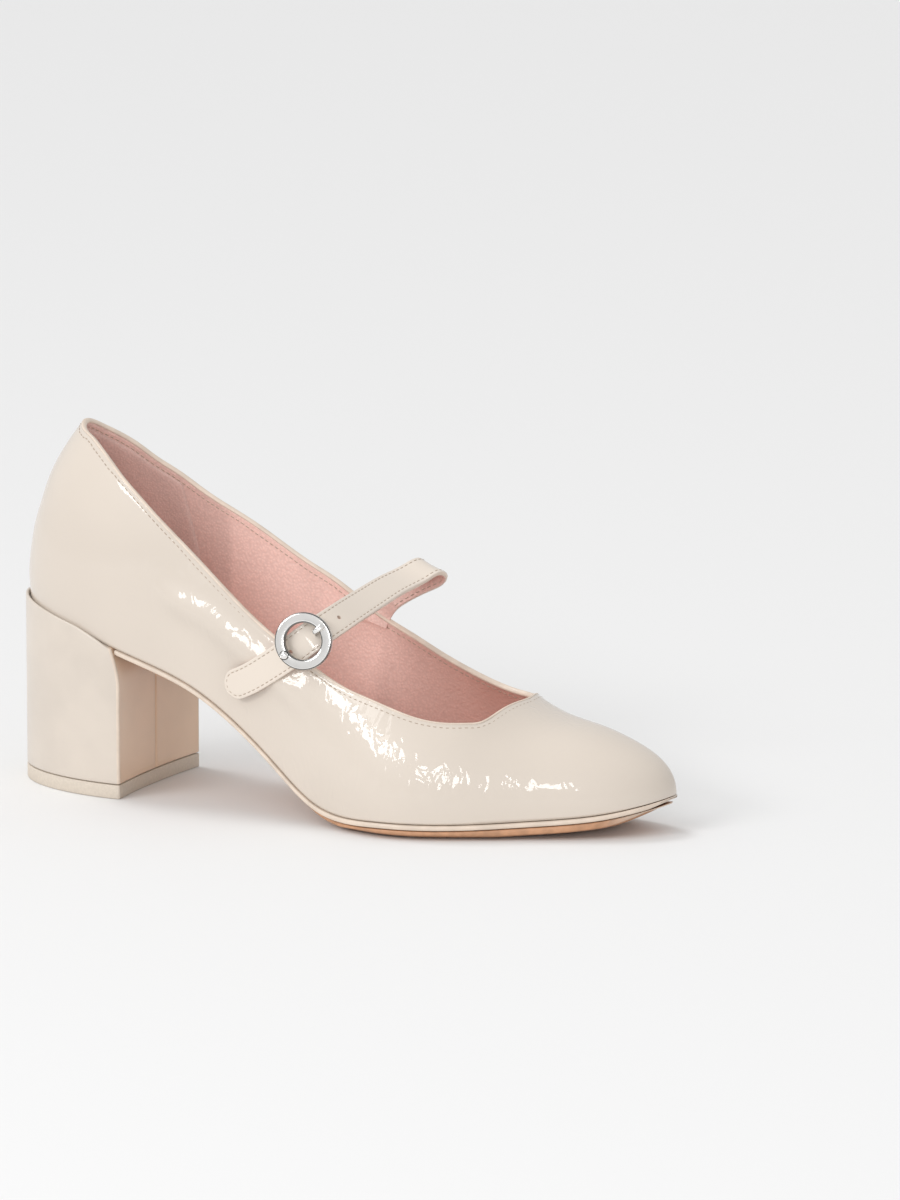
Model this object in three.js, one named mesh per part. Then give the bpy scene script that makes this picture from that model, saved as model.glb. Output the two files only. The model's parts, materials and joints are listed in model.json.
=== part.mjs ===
// Mary jane pump, right shoe, standing empty on its heel and forefoot.
// Millimetres, +Z up. +X points to the toe, -Y to the outer side of the foot, +Y to the inner side.
// The origin lies on the floor, under the middle of the heel.
//
// The last is one surface. A station is a pair of points on the feather line, one on each side, found by
// an angle that runs from 0 at the back to PI at the toe tip. At each station a superellipse rises from the
// feather line to a ridge. The upper is that surface, stopped at the topline, with its wall laid inside it.

import * as THREE from 'three';

// ---------------------------------------------------------------- driving dimensions

const BACK_X = -21.6; // feather line at the back of the heel
const TIP_X = 203.6; // feather line at the toe tip
const THROAT_X = 153.8; // front of the opening, on the ridge
const WALL = 1.8; // upper with its lining
const GAP = 0.3; // between pieces that touch

const RAND_THICK = 1.6;
const RAND_PROUD = 0.9; // beyond the feather line
const RAND_REAR_X = 21.4;
const OUTSOLE_REAR_X = 22.6;
const INSOLE_THICK = 1.6;
const INSOLE_INSET = WALL + 0.6;

const HEEL = { back: -23.2, middle: 21, half: 27.6, front: 23.4, dent: 1.4, sweepFrom: 38, sweep: 3 };
const TOP_PIECE_HEIGHT = 4.6;

const STRAP = { width: 10, thick: 1.8, corner: 0.5, tipRadius: 5 };
const RING = { outer: 9.2, rim: 3.3, depth: 2.6, round: 0.7, fromTip: 34.6 };
const PRONG = { radius: 0.75, hole: 4.2, rivet: 1.3 };
const CHAPE = { width: 8, thick: 1.0, corner: 0.3 };

// Stations of the last. Half widths are measured from y = 0 to the feather line on each side. The ridge is
// a height above the feather line, and it stands over the opening too, where nothing is made of it.
// Squareness is the superellipse's exponent. A belly is how far the side swells out past the feather line.
const LAST = table(
  ['x', 'outer', 'inner', 'middle', 'feather', 'ridge', 'square', 'bellyOut', 'bellyIn'],
  [
    [-21.6, 0.0, 0.0, 0.0, 59.6, 76.0, 2.1, 0.0, 0.0],
    [-18.0, 10.4, 10.4, 0.0, 58.8, 76.0, 2.1, 0.0, 0.0],
    [-10.0, 17.8, 17.8, 0.0, 57.2, 76.0, 2.1, 0.0, 0.0],
    [0.0, 22.5, 22.5, 0.0, 55.0, 75.0, 2.1, 0.2, 0.2],
    [10.0, 25.0, 25.0, 0.0, 52.6, 75.0, 2.1, 0.6, 0.6],
    [20.0, 25.9, 25.6, 0.0, 49.5, 76.0, 2.1, 1.2, 1.4],
    [34.0, 24.5, 23.2, 0.2, 44.5, 77.0, 2.1, 2.6, 3.4],
    [48.0, 23.9, 21.0, 0.4, 38.8, 78.0, 2.1, 4.0, 5.6],
    [63.0, 24.8, 20.0, 0.8, 29.9, 77.0, 2.1, 4.8, 7.4],
    [79.0, 27.4, 21.4, 1.6, 18.3, 73.0, 2.1, 4.2, 7.0],
    [95.0, 31.8, 25.2, 2.6, 7.6, 68.0, 2.1, 3.0, 5.0],
    [110.0, 36.4, 30.4, 3.6, 4.6, 59.0, 2.1, 2.0, 3.0],
    [121.0, 38.6, 33.8, 4.2, 4.9, 52.0, 2.1, 1.5, 2.0],
    [131.0, 37.8, 35.6, 4.8, 5.0, 46.0, 2.15, 1.2, 1.4],
    [142.0, 33.9, 34.6, 5.4, 5.0, 41.8, 2.2, 1.0, 1.0],
    [153.0, 28.4, 31.0, 6.0, 5.3, 34.9, 2.25, 0.9, 0.9],
    [165.0, 21.9, 26.4, 6.8, 6.0, 29.2, 2.3, 0.7, 0.7],
    [177.0, 15.9, 23.0, 7.8, 6.9, 25.6, 2.3, 0.5, 0.5],
    [187.0, 10.4, 20.8, 8.8, 8.1, 21.0, 2.3, 0.4, 0.4],
    [196.0, 3.6, 17.6, 9.8, 10.0, 14.6, 2.3, 0.2, 0.2],
    [203.6, -10.4, 10.4, 10.4, 12.2, 0.0, 2.3, 0.0, 0.0],
  ]
);

// The back curve: how far the heel cup leans forward at each height above the feather line.
const BACK_CURVE = table(
  ['height', 'lean'],
  [[0, 0], [8, -0.6], [16, 0.05], [24, 1.4], [32, 3.8], [40, 6.6], [48, 10.8], [56, 16.4], [64, 23], [90, 48]]
);
const BACK_CURVE_REACH = 38; // the lean fades over this length forward of the back

// The topline, as the share of the way from feather line to ridge at which each side stops.
const TOPLINE = table(
  ['x', 'outer', 'inner'],
  [
    [-21.6, 0.55, 0.55],
    [-17.4, 0.54, 0.525],
    [-11.0, 0.535, 0.5],
    [-3.0, 0.53, 0.482],
    [6.0, 0.515, 0.455],
    [14.0, 0.49, 0.435],
    [25.0, 0.452, 0.408],
    [35.0, 0.41, 0.392],
    [45.0, 0.372, 0.38],
    [55.0, 0.347, 0.375],
    [67.0, 0.34, 0.395],
    [75.0, 0.352, 0.43],
    [84.0, 0.38, 0.465],
    [95.0, 0.415, 0.505],
    [105.0, 0.437, 0.535],
    [115.0, 0.46, 0.525],
    [122.0, 0.47, 0.515],
    [130.0, 0.481, 0.515],
    [140.0, 0.5, 0.52],
    [146.0, 0.548, 0.575],
    [150.3, 0.65, 0.68],
    [152.4, 0.82, 0.83],
    [153.8, 1.0, 1.0],
  ]
);

// Under the sole: the height of the outsole's underside along its middle (never below the floor), how much
// higher its rounded edge is, and how far its outline stands outside the feather line.
const TREAD = table(
  ['x', 'middle', 'edgeRise', 'proud'],
  [
    [20, 46.3, 0.4, -2.4],
    [34, 41.0, 0.4, -2.4],
    [48, 35.3, 0.4, -2.4],
    [63, 26.4, 0.4, -2.4],
    [79, 14.9, 0.4, -2.2],
    [87, 8.9, 0.4, -1.8],
    [95, 4.0, 0.5, -1.2],
    [103, 1.0, 1.0, -0.4],
    [112, -0.4, 1.7, 0.3],
    [130, -0.6, 1.8, 0.5],
    [150, -0.4, 1.8, 0.5],
    [165, 0.6, 1.4, 0.5],
    [177, 1.6, 1.2, 0.4],
    [187, 3.0, 1.0, 0.1],
    [195, 4.6, 0.8, -0.4],
    [205, 6.9, 0.6, -1.4],
  ]
);
const EDGE_ROUNDING = 8; // width of the rounded band along the tread's edge

// The strap's middle line, from its tip on the outer quarter, up under the ring, over the opening and down
// inside the inner topline. Turn is the angle of its width in the XZ plane, from +X towards -Z. Skew is how
// far the front edge runs behind the rear one, as a share of the width: it sets the fold aslant.
const STRAP_PATH = table(
  ['x', 'y', 'z', 'turn', 'skew'],
  [
    [63.2, -28.3, 41.1, 64, 0],
    [71.3, -29.9, 44.6, 63, 0],
    [80.0, -30.9, 49.9, 61, 0],
    [87.4, -31.0, 55.1, 57, 0],
    [93.4, -29.2, 60.1, 52, 0],
    [97.6, -23.6, 63.8, 46, 0],
    [99.8, -13.0, 66.6, 38, 0],
    [101.0, -1.0, 68.7, 31, 0],
    [102.6, 11.0, 70.9, 25, 0],
    [105.2, 21.6, 72.9, 21, 0.15],
    [107.8, 28.4, 73.8, 21, 0.5],
    [107.4, 30.7, 72.4, 26, 0.6],
    [103.4, 29.2, 69.9, 34, 0.3],
    [98.2, 26.0, 66.6, 37, 0],
    [93.8, 22.3, 62.8, 34, 0],
    [91.0, 20.3, 58.2, 30, 0],
    [89.4, 19.9, 53.0, 27, 0],
    [88.4, 20.2, 48.5, 26, 0],
  ]
);

// The elastic loop that holds the ring, from inside the outer topline up behind the strap.
const CHAPE_PATH = table(
  ['x', 'y', 'z', 'turn', 'skew'],
  [
    [86.6, -24.6, 44.5, 40, 0],
    [88.4, -24.5, 49.0, 42, 0],
    [90.3, -24.9, 53.4, 45, 0],
    [92.2, -25.7, 57.4, 47, 0],
    [93.8, -25.4, 60.4, 48, 0],
  ]
);

// ---------------------------------------------------------------- small helpers

function table(columns, rows) {
  return rows.map((row) => Object.fromEntries(columns.map((name, i) => [name, row[i]])));
}

// A twice-smooth curve through points. An end is either level or free of bending.
function spline(xs, ys, levelStart = false, levelEnd = false) {
  const n = xs.length;
  const slope = (i) => (ys[i + 1] - ys[i]) / (xs[i + 1] - xs[i]);
  const lower = new Array(n).fill(0);
  const diagonal = new Array(n).fill(1);
  const upper = new Array(n).fill(0);
  const right = new Array(n).fill(0);
  for (let i = 1; i < n - 1; i++) {
    const before = xs[i] - xs[i - 1];
    const after = xs[i + 1] - xs[i];
    lower[i] = before;
    diagonal[i] = 2 * (before + after);
    upper[i] = after;
    right[i] = 6 * (slope(i) - slope(i - 1));
  }
  if (levelStart) {
    diagonal[0] = 2 * (xs[1] - xs[0]);
    upper[0] = xs[1] - xs[0];
    right[0] = 6 * slope(0);
  }
  if (levelEnd) {
    lower[n - 1] = xs[n - 1] - xs[n - 2];
    diagonal[n - 1] = 2 * (xs[n - 1] - xs[n - 2]);
    right[n - 1] = -6 * slope(n - 2);
  }
  for (let i = 1; i < n; i++) {
    const factor = lower[i] / diagonal[i - 1];
    diagonal[i] -= factor * upper[i - 1];
    right[i] -= factor * right[i - 1];
  }
  const bend = new Array(n).fill(0);
  bend[n - 1] = right[n - 1] / diagonal[n - 1];
  for (let i = n - 2; i >= 0; i--) bend[i] = (right[i] - upper[i] * bend[i + 1]) / diagonal[i];
  return (at) => {
    const x = THREE.MathUtils.clamp(at, xs[0], xs[n - 1]);
    let i = 0;
    while (i < n - 2 && x > xs[i + 1]) i++;
    const width = xs[i + 1] - xs[i];
    const a = (xs[i + 1] - x) / width;
    const b = 1 - a;
    const curve = ((a ** 3 - a) * bend[i] + (b ** 3 - b) * bend[i + 1]) * width * width / 6;
    return a * ys[i] + b * ys[i + 1] + curve;
  };
}

const column = (rows, name) => rows.map((row) => row[name]);

// Joins triangles into one closed body: shared corners become one vertex, flat-out triangles are dropped
// and the faces are turned to point out.
function solid(triangles) {
  const positions = [];
  const known = new Map();
  const vertex = (p) => {
    const key = p.map((value) => (Math.round(value * 1e4) || 0)).join();
    if (!known.has(key)) {
      known.set(key, known.size);
      positions.push(...p);
    }
    return known.get(key);
  };
  const faces = [];
  let volume = 0;
  for (const [p, q, r] of triangles) {
    const [a, b, c] = [vertex(p), vertex(q), vertex(r)];
    if (a === b || b === c || c === a) continue;
    faces.push([a, b, c]);
    volume += p[0] * (q[1] * r[2] - q[2] * r[1]) + p[1] * (q[2] * r[0] - q[0] * r[2])
      + p[2] * (q[0] * r[1] - q[1] * r[0]);
  }
  const geometry = new THREE.BufferGeometry();
  geometry.setAttribute('position', new THREE.Float32BufferAttribute(positions, 3));
  geometry.setIndex(faces.flatMap(([a, b, c]) => (volume > 0 ? [a, b, c] : [a, c, b])));
  geometry.computeVertexNormals();
  return geometry;
}

const quad = (a, b, c, d) => [[a, b, c], [a, c, d]];

// A block between level surfaces. Each level is a grid of points, level[i][k], with i along and k across.
// The first and last levels are closed over, and the levels' outlines are joined by walls.
function block(levels) {
  const rows = levels[0].length - 1;
  const across = levels[0][0].length - 1;
  const rim = (grid) => [
    ...grid.map((row) => row[0]),
    ...grid[rows].slice(1, across),
    ...grid.map((row) => row[across]).reverse(),
    ...grid[0].slice(1, across).reverse(),
  ];
  const triangles = [];
  const last = levels[levels.length - 1];
  for (let i = 0; i < rows; i++) {
    for (let k = 0; k < across; k++) {
      triangles.push(...quad(last[i][k], last[i + 1][k], last[i + 1][k + 1], last[i][k + 1]));
      const first = levels[0];
      triangles.push(...quad(first[i][k], first[i][k + 1], first[i + 1][k + 1], first[i + 1][k]));
    }
  }
  for (let level = 1; level < levels.length; level++) {
    const below = rim(levels[level - 1]);
    const above = rim(levels[level]);
    for (let i = 0; i < below.length; i++) {
      const next = (i + 1) % below.length;
      triangles.push(...quad(below[i], below[next], above[next], above[i]));
    }
  }
  return solid(triangles);
}

// ---------------------------------------------------------------- the last

const MIDDLE_X = (BACK_X + TIP_X) / 2;
const REACH_X = (TIP_X - BACK_X) / 2;
const angleAt = (x) => Math.acos(THREE.MathUtils.clamp((MIDDLE_X - x) / REACH_X, -1, 1));
const xAt = (angle) => MIDDLE_X - REACH_X * Math.cos(angle);

const lastAngles = column(LAST, 'x').map(angleAt);
const alongLast = (name, levelEnd = true) => spline(lastAngles, column(LAST, name), true, levelEnd);
// The outline is one curve, from the toe tip along the outer side, round the back and along the inner side.
const outlineY = spline(
  [...lastAngles.map((angle) => -angle).reverse(), ...lastAngles.slice(1)],
  [...column(LAST, 'outer').map((half) => -half).reverse(), ...column(LAST, 'inner').slice(1)]
);
const middleY = alongLast('middle');
const featherZ = alongLast('feather');
const ridgeHeight = alongLast('ridge', false);
const squareness = alongLast('square');
const bellyOut = alongLast('bellyOut');
const bellyIn = alongLast('bellyIn');
const feather = (x) => featherZ(angleAt(x));
const lean = spline(column(BACK_CURVE, 'height'), column(BACK_CURVE, 'lean'), true);

// A point of the last's surface. A negative angle is on the outer side. Share runs from 0 at the feather
// line to 1 at the ridge.
function lastPoint(angle, share) {
  const station = Math.abs(angle);
  const x = xAt(station);
  const middle = middleY(station);
  const turn = share * Math.PI / 2;
  const power = 2 / squareness(station);
  const height = ridgeHeight(station) * Math.sin(turn) ** power;
  const belly = angle < 0 ? -bellyOut(station) : bellyIn(station);
  return new THREE.Vector3(
    x + lean(height) * Math.exp(-(((x - BACK_X) / BACK_CURVE_REACH) ** 2)),
    middle + (outlineY(angle) - middle) * Math.max(Math.cos(turn), 0) ** power + belly * Math.sin(2 * turn),
    featherZ(station) + height
  );
}

// The outward direction of the last's surface, from small steps either way. On the ridge the two sides
// share it.
function lastNormal(angle, share) {
  if (Math.abs(angle) > Math.PI - 1e-6) return new THREE.Vector3(1, 0, 0);
  if (share > 1 - 1e-9) return lastNormal(-angle, 0.99).add(lastNormal(angle, 0.99)).normalize();
  const step = 0.004;
  const low = Math.max(share - step, 0);
  const high = Math.min(share + step, 1);
  const side = angle < 0 ? -1 : 1;
  const near = side * Math.min(Math.abs(angle) + step, Math.PI);
  const far = Math.abs(angle) < step ? -near : side * (Math.abs(angle) - step);
  const along = lastPoint(near, share).sub(lastPoint(far, share));
  const up = lastPoint(angle, high).sub(lastPoint(angle, low));
  return up.cross(along).multiplyScalar(side).normalize();
}

// Distances from the throat are measured by their square root, which makes its front a smooth round end.
const throatReach = (x) => Math.sqrt(Math.max(THROAT_X - x, 0));
const toplineRows = [...TOPLINE].reverse();
const topline = {
  outer: spline(column(toplineRows, 'x').map(throatReach), column(toplineRows, 'outer')),
  inner: spline(column(toplineRows, 'x').map(throatReach), column(toplineRows, 'inner')),
};
function toplineShare(angle) {
  const reach = throatReach(xAt(Math.abs(angle)));
  return angle < 0 ? topline.outer(reach) : topline.inner(reach);
}

// ---------------------------------------------------------------- upper

const UPPER = { rows: 11, quarterSteps: 24, throatSteps: 10, throatLength: 29, vampSteps: 14 };

function upperAngles() {
  const quarterEnd = angleAt(THROAT_X - UPPER.throatLength);
  const throat = angleAt(THROAT_X);
  const angles = [];
  for (let i = 0; i < UPPER.quarterSteps; i++) angles.push(quarterEnd * i / UPPER.quarterSteps);
  for (let i = 0; i < UPPER.throatSteps; i++) {
    const back = UPPER.throatLength * (1 - i / UPPER.throatSteps) ** 2;
    angles.push(angleAt(THROAT_X - back));
  }
  for (let i = 0; i <= UPPER.vampSteps; i++) {
    angles.push(throat + (Math.PI - throat) * i / UPPER.vampSteps);
  }
  return [...angles.slice(1).reverse().map((angle) => -angle), ...angles];
}

function upper() {
  const angles = upperAngles();
  const sheet = (inside) => angles.map((angle) => {
    const stop = toplineShare(angle);
    const atTip = Math.abs(angle) > Math.PI - 1e-6;
    return Array.from({ length: UPPER.rows + 1 }, (_, j) => {
      const share = stop * j / UPPER.rows;
      const point = lastPoint(angle, share);
      if (inside) point.addScaledVector(lastNormal(angle, share), -WALL);
      if (j === 0 || atTip) point.z = feather(xAt(Math.abs(angle))) + GAP / 2;
      return point.toArray();
    });
  });
  const outside = sheet(false);
  const inside = sheet(true);
  const triangles = [];
  for (let a = 0; a < angles.length - 1; a++) {
    for (let j = 0; j < UPPER.rows; j++) {
      triangles.push(...quad(outside[a][j], outside[a + 1][j], outside[a + 1][j + 1], outside[a][j + 1]));
      triangles.push(...quad(inside[a][j], inside[a][j + 1], inside[a + 1][j + 1], inside[a + 1][j]));
    }
    triangles.push(...quad(inside[a][0], inside[a + 1][0], outside[a + 1][0], outside[a][0]));
    const open = Math.max(Math.abs(angles[a]), Math.abs(angles[a + 1])) < angleAt(THROAT_X) + 1e-6;
    if (!open) continue;
    const top = UPPER.rows;
    triangles.push(...quad(outside[a][top], outside[a + 1][top], inside[a + 1][top], inside[a][top]));
  }
  return solid(triangles);
}

// ---------------------------------------------------------------- sole pieces

const SOLE_STATIONS = 38;

// A point of the feather line moved outward in plan by a distance, with its height left out.
function outlinePoint(angle, proud) {
  const step = 0.01;
  const dx = REACH_X * Math.sin(Math.abs(angle)) * Math.sign(angle);
  const dy = (outlineY(angle + step) - outlineY(angle - step)) / (2 * step);
  const length = Math.hypot(dx, dy);
  return [xAt(Math.abs(angle)) - proud * dy / length, outlineY(angle) + proud * dx / length];
}

// A sheet that follows the sole from rearX, or from the back, to the toe tip. Proud and the heights are
// functions of x. A height also takes the distance from the edge, at each of the bands.
function solePlate(rearX, proud, bottom, top, bands = [0, EDGE_ROUNDING]) {
  const start = rearX === null ? 0 : angleAt(rearX);
  const plan = [];
  for (let i = 0; i <= SOLE_STATIONS; i++) {
    const angle = start + (Math.PI - start) * i / SOLE_STATIONS;
    const reach = proud(xAt(angle));
    const tip = i === SOLE_STATIONS || angle === 0;
    const outer = outlinePoint(tip ? -angle || -1e-9 : -angle, reach);
    const inner = tip ? outer : outlinePoint(angle, reach);
    if (rearX !== null && i === 0) outer[0] = inner[0] = rearX;
    const width = Math.hypot(inner[0] - outer[0], inner[1] - outer[1]);
    const scale = Math.min(1, width / (2.6 * EDGE_ROUNDING));
    const half = bands.map((band) => [band * scale, band]);
    const cross = [
      ...half,
      [width / 2, EDGE_ROUNDING],
      ...half.map(([distance, band]) => [width - distance, band]).reverse(),
    ];
    plan.push(cross.map(([distance, band]) => {
      const share = width > 0 ? distance / width : 0;
      return [outer[0] + (inner[0] - outer[0]) * share, outer[1] + (inner[1] - outer[1]) * share, band];
    }));
  }
  const grid = (height) => plan.map((row) => row.map(([x, y, band]) => [x, y, height(x, band)]));
  return block([grid(bottom), grid(top)]);
}

const alongTread = (name) => spline(column(TREAD, 'x'), column(TREAD, name));
const treadMiddle = alongTread('middle');
const treadRise = alongTread('edgeRise');
const treadProud = alongTread('proud');

const randTop = (x) => feather(x) - GAP / 2;
const randBottom = (x) => randTop(x) - RAND_THICK;
const outsoleTop = (x) => randBottom(x) - GAP;
function treadZ(x, band) {
  const rounding = (1 - band / EDGE_ROUNDING) ** 2;
  return Math.max(treadMiddle(x), 0) + treadRise(x) * rounding;
}

const rand = () => solePlate(RAND_REAR_X, () => RAND_PROUD, randBottom, randTop);
const outsole = () => solePlate(OUTSOLE_REAR_X, treadProud, treadZ, outsoleTop, [0, 1.4, 3.6, EDGE_ROUNDING]);
const insoleFoot = (x) => feather(x) + GAP / 2;
const insole = () => solePlate(null, () => -INSOLE_INSET, insoleFoot, (x) => insoleFoot(x) + INSOLE_THICK);

// ---------------------------------------------------------------- heel

const HEEL_STATIONS = 22;
const HEEL_ACROSS = 8;

const heelSeat = (x) => feather(x) - GAP / 2;
function heelFront(z) {
  const rise = Math.max(z - HEEL.sweepFrom, 0) / (heelSeat(HEEL.middle) - HEEL.sweepFrom);
  return HEEL.front - HEEL.sweep * rise ** 1.6;
}
function heelHalf(x) {
  const back = Math.max(HEEL.middle - x, 0) / (HEEL.middle - HEEL.back);
  return HEEL.half * Math.sqrt(Math.max(1 - back * back, 0));
}

// The heel's plan at one level. The breast is hollowed a little, and height is a function of x.
function heelLevel(front, height) {
  const grid = [];
  for (let i = 0; i <= HEEL_STATIONS; i++) {
    const x = front - (front - HEEL.back) * Math.sin(i / HEEL_STATIONS * Math.PI / 2);
    const half = i === HEEL_STATIONS ? 0 : heelHalf(x);
    grid.push(Array.from({ length: HEEL_ACROSS + 1 }, (_, k) => {
      const y = half * (2 * k / HEEL_ACROSS - 1);
      const dent = i === 0 ? HEEL.dent * (1 - (y / HEEL.half) ** 2) : 0;
      return [x - dent, y, height(x)];
    }));
  }
  return grid;
}

function heelBlock() {
  const foot = TOP_PIECE_HEIGHT + GAP;
  const shares = [0, 0.4, 0.74, 0.82, 0.88, 0.93, 0.97, 1];
  return block(shares.map((share) => {
    const front = heelFront(foot + share * (heelSeat(HEEL.middle) - foot));
    return heelLevel(front, (x) => foot + share * (heelSeat(x) - foot));
  }));
}

const heelTopPiece = () => block([heelLevel(HEEL.front, () => 0), heelLevel(HEEL.front, () => TOP_PIECE_HEIGHT)]);

// ---------------------------------------------------------------- strap and buckle

// A ribbon along a path. Its frame, at a distance from the start, holds its middle and the directions along
// it, across it and out of its face.
function ribbon(path) {
  const points = path.map(({ x, y, z }) => new THREE.Vector3(x, y, z));
  const distances = [0];
  for (let i = 1; i < points.length; i++) {
    distances.push(distances[i - 1] + points[i].distanceTo(points[i - 1]));
  }
  const length = distances[distances.length - 1];
  const [x, y, z, turn, skew] = Object.keys(path[0]).map((name) => spline(distances, column(path, name)));
  const at = (distance) => new THREE.Vector3(x(distance), y(distance), z(distance));
  const frame = (distance) => {
    const along = at(Math.min(distance + 0.2, length)).sub(at(Math.max(distance - 0.2, 0))).normalize();
    const angle = THREE.MathUtils.degToRad(turn(distance));
    const across = new THREE.Vector3(Math.cos(angle), 0, -Math.sin(angle));
    across.addScaledVector(along, -across.dot(along)).normalize();
    const out = new THREE.Vector3().crossVectors(across, along);
    return { middle: at(distance), along, across, out, skew: skew(distance) };
  };
  return { length, frame };
}

function place({ middle, along, across, out, skew }, sideways, outward) {
  return middle.clone()
    .addScaledVector(across, sideways)
    .addScaledVector(along, -skew * sideways)
    .addScaledVector(out, outward);
}

// A strip of one thickness laid along a ribbon, with its edges cut back at the corners.
function strip(band, distances, halfWidth, thick, corner) {
  const sections = distances.map((distance) => {
    const frame = band.frame(distance);
    const half = halfWidth(distance);
    const face = thick / 2;
    const cut = Math.min(corner, half / 2);
    const corners = [
      [half, -face + cut], [half, face - cut], [half - cut, face], [cut - half, face],
      [-half, face - cut], [-half, -face + cut], [cut - half, -face], [half - cut, -face],
    ];
    return corners.map(([sideways, outward]) => place(frame, sideways, outward).toArray());
  });
  const triangles = [];
  for (let i = 0; i < sections.length - 1; i++) {
    for (let k = 0; k < 8; k++) {
      const next = (k + 1) % 8;
      triangles.push(...quad(sections[i][k], sections[i][next], sections[i + 1][next], sections[i + 1][k]));
    }
  }
  const last = sections[sections.length - 1];
  for (let k = 1; k < 7; k++) {
    triangles.push([sections[0][0], sections[0][k + 1], sections[0][k]]);
    triangles.push([last[0], last[k], last[k + 1]]);
  }
  return solid(triangles);
}

const strapBand = ribbon(STRAP_PATH);

function strap() {
  const { width, thick, corner, tipRadius } = STRAP;
  const tipSteps = 7;
  const steps = 60;
  const distances = [];
  for (let i = 0; i < tipSteps; i++) {
    distances.push(tipRadius * (1 - Math.cos((i + 0.6) / tipSteps * Math.PI / 2)));
  }
  for (let i = 0; i <= steps; i++) distances.push(tipRadius + (strapBand.length - tipRadius) * i / steps);
  const halfWidth = (distance) => {
    const back = Math.max(1 - distance / tipRadius, 0);
    return width / 2 * Math.sqrt(1 - back * back);
  };
  return strip(strapBand, distances, halfWidth, thick, corner);
}

function buckleChape() {
  const band = ribbon(CHAPE_PATH);
  const steps = 10;
  const distances = Array.from({ length: steps + 1 }, (_, i) => band.length * i / steps);
  return strip(band, distances, () => CHAPE.width / 2, CHAPE.thick, CHAPE.corner);
}

const ringFrame = strapBand.frame(RING.fromTip);
const ringFloor = STRAP.thick / 2 + GAP; // the ring's underside, above the middle of the strap
const ringFace = ringFloor + RING.depth;

// Stands a geometry on the strap at the ring's centre: its X runs along the strap, away from the tip, and
// its Z out of the strap's face.
function onRing(geometry) {
  const { middle, along, across, out } = ringFrame;
  const turn = new THREE.Matrix4().makeBasis(along, across.clone().negate(), out).setPosition(middle);
  return geometry.applyMatrix4(turn);
}

function buckleRing() {
  const { outer, rim, depth, round } = RING;
  const inner = outer - rim;
  const profile = new THREE.Path();
  profile.moveTo(inner + round, 0);
  profile.lineTo(outer - round, 0);
  profile.absarc(outer - round, round, round, -Math.PI / 2, 0, false);
  profile.absarc(outer - round, depth - round, round, 0, Math.PI / 2, false);
  profile.absarc(inner + round, depth - round, round, Math.PI / 2, Math.PI, false);
  profile.absarc(inner + round, round, round, Math.PI, Math.PI * 1.5, false);
  const ring = new THREE.LatheGeometry(profile.getPoints(1), 36);
  return onRing(ring.rotateX(Math.PI / 2).translate(0, 0, ringFloor));
}

// The prong comes up out of a hole in the strap and hooks over the rim on the far side of the tip.
function buckleProng() {
  const over = ringFace + GAP + PRONG.radius;
  const way = new THREE.CatmullRomCurve3([
    new THREE.Vector3(PRONG.hole, 0, ringFloor),
    new THREE.Vector3(PRONG.hole + 0.1, 0, ringFloor + 1.2),
    new THREE.Vector3(PRONG.hole + 0.6, 0, over - 0.5),
    new THREE.Vector3(PRONG.hole + 1.9, 0, over + 0.25),
    new THREE.Vector3(PRONG.hole + 3.4, 0, over + 0.1),
    new THREE.Vector3(PRONG.hole + 4.4, 0, over - 0.05),
  ]);
  const section = new THREE.Shape().absarc(0, 0, PRONG.radius, 0, Math.PI * 2, false);
  return onRing(new THREE.ExtrudeGeometry(section, { extrudePath: way, steps: 12, curveSegments: 8 }));
}

// The prong's rivet, a dome on the rim nearest the tip.
function prongRivet() {
  const { rivet } = PRONG;
  const dome = new THREE.Path();
  dome.moveTo(0, 0);
  dome.lineTo(rivet, 0);
  dome.quadraticCurveTo(rivet * 0.9, rivet * 0.6, 0, rivet * 0.6);
  const head = new THREE.LatheGeometry(dome.getPoints(5), 16).rotateX(Math.PI / 2);
  return onRing(head.translate(RING.rim / 2 - RING.outer, 0, ringFace + GAP / 3));
}

// ---------------------------------------------------------------- assembly

const material = (color, roughness, metalness = 0) => new THREE.MeshStandardMaterial({ color, roughness, metalness });
const patent = material(0xe4dbcf, 0.15);
const cover = material(0xe2d7ca, 0.3);
const edge = material(0xf2ddcb, 0.45);
const leatherSole = material(0xc08a62, 0.55);
const topPieceRubber = material(0xd8cbb8, 0.6);
const lining = material(0xcf9c90, 0.6);
const elastic = material(0xd9cfca, 0.8);
const metal = material(0xd9d9dc, 0.15, 1);

const shoe = new THREE.Group();
const pieces = [
  ['outsole', outsole, leatherSole],
  ['rand', rand, edge],
  ['heel_block', heelBlock, cover],
  ['heel_top_piece', heelTopPiece, topPieceRubber],
  ['upper', upper, patent],
  ['insole', insole, lining],
  ['strap', strap, patent],
  ['buckle_ring', buckleRing, metal],
  ['buckle_prong', buckleProng, metal],
  ['prong_rivet', prongRivet, metal],
  ['buckle_chape', buckleChape, elastic],
];
for (const [name, make, finish] of pieces) {
  const mesh = new THREE.Mesh(make(), finish);
  mesh.name = name;
  shoe.add(mesh);
}

export default shoe;
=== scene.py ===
import json
import math

import bmesh
import bpy
import numpy as np
from mathutils import Matrix, Vector

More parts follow.
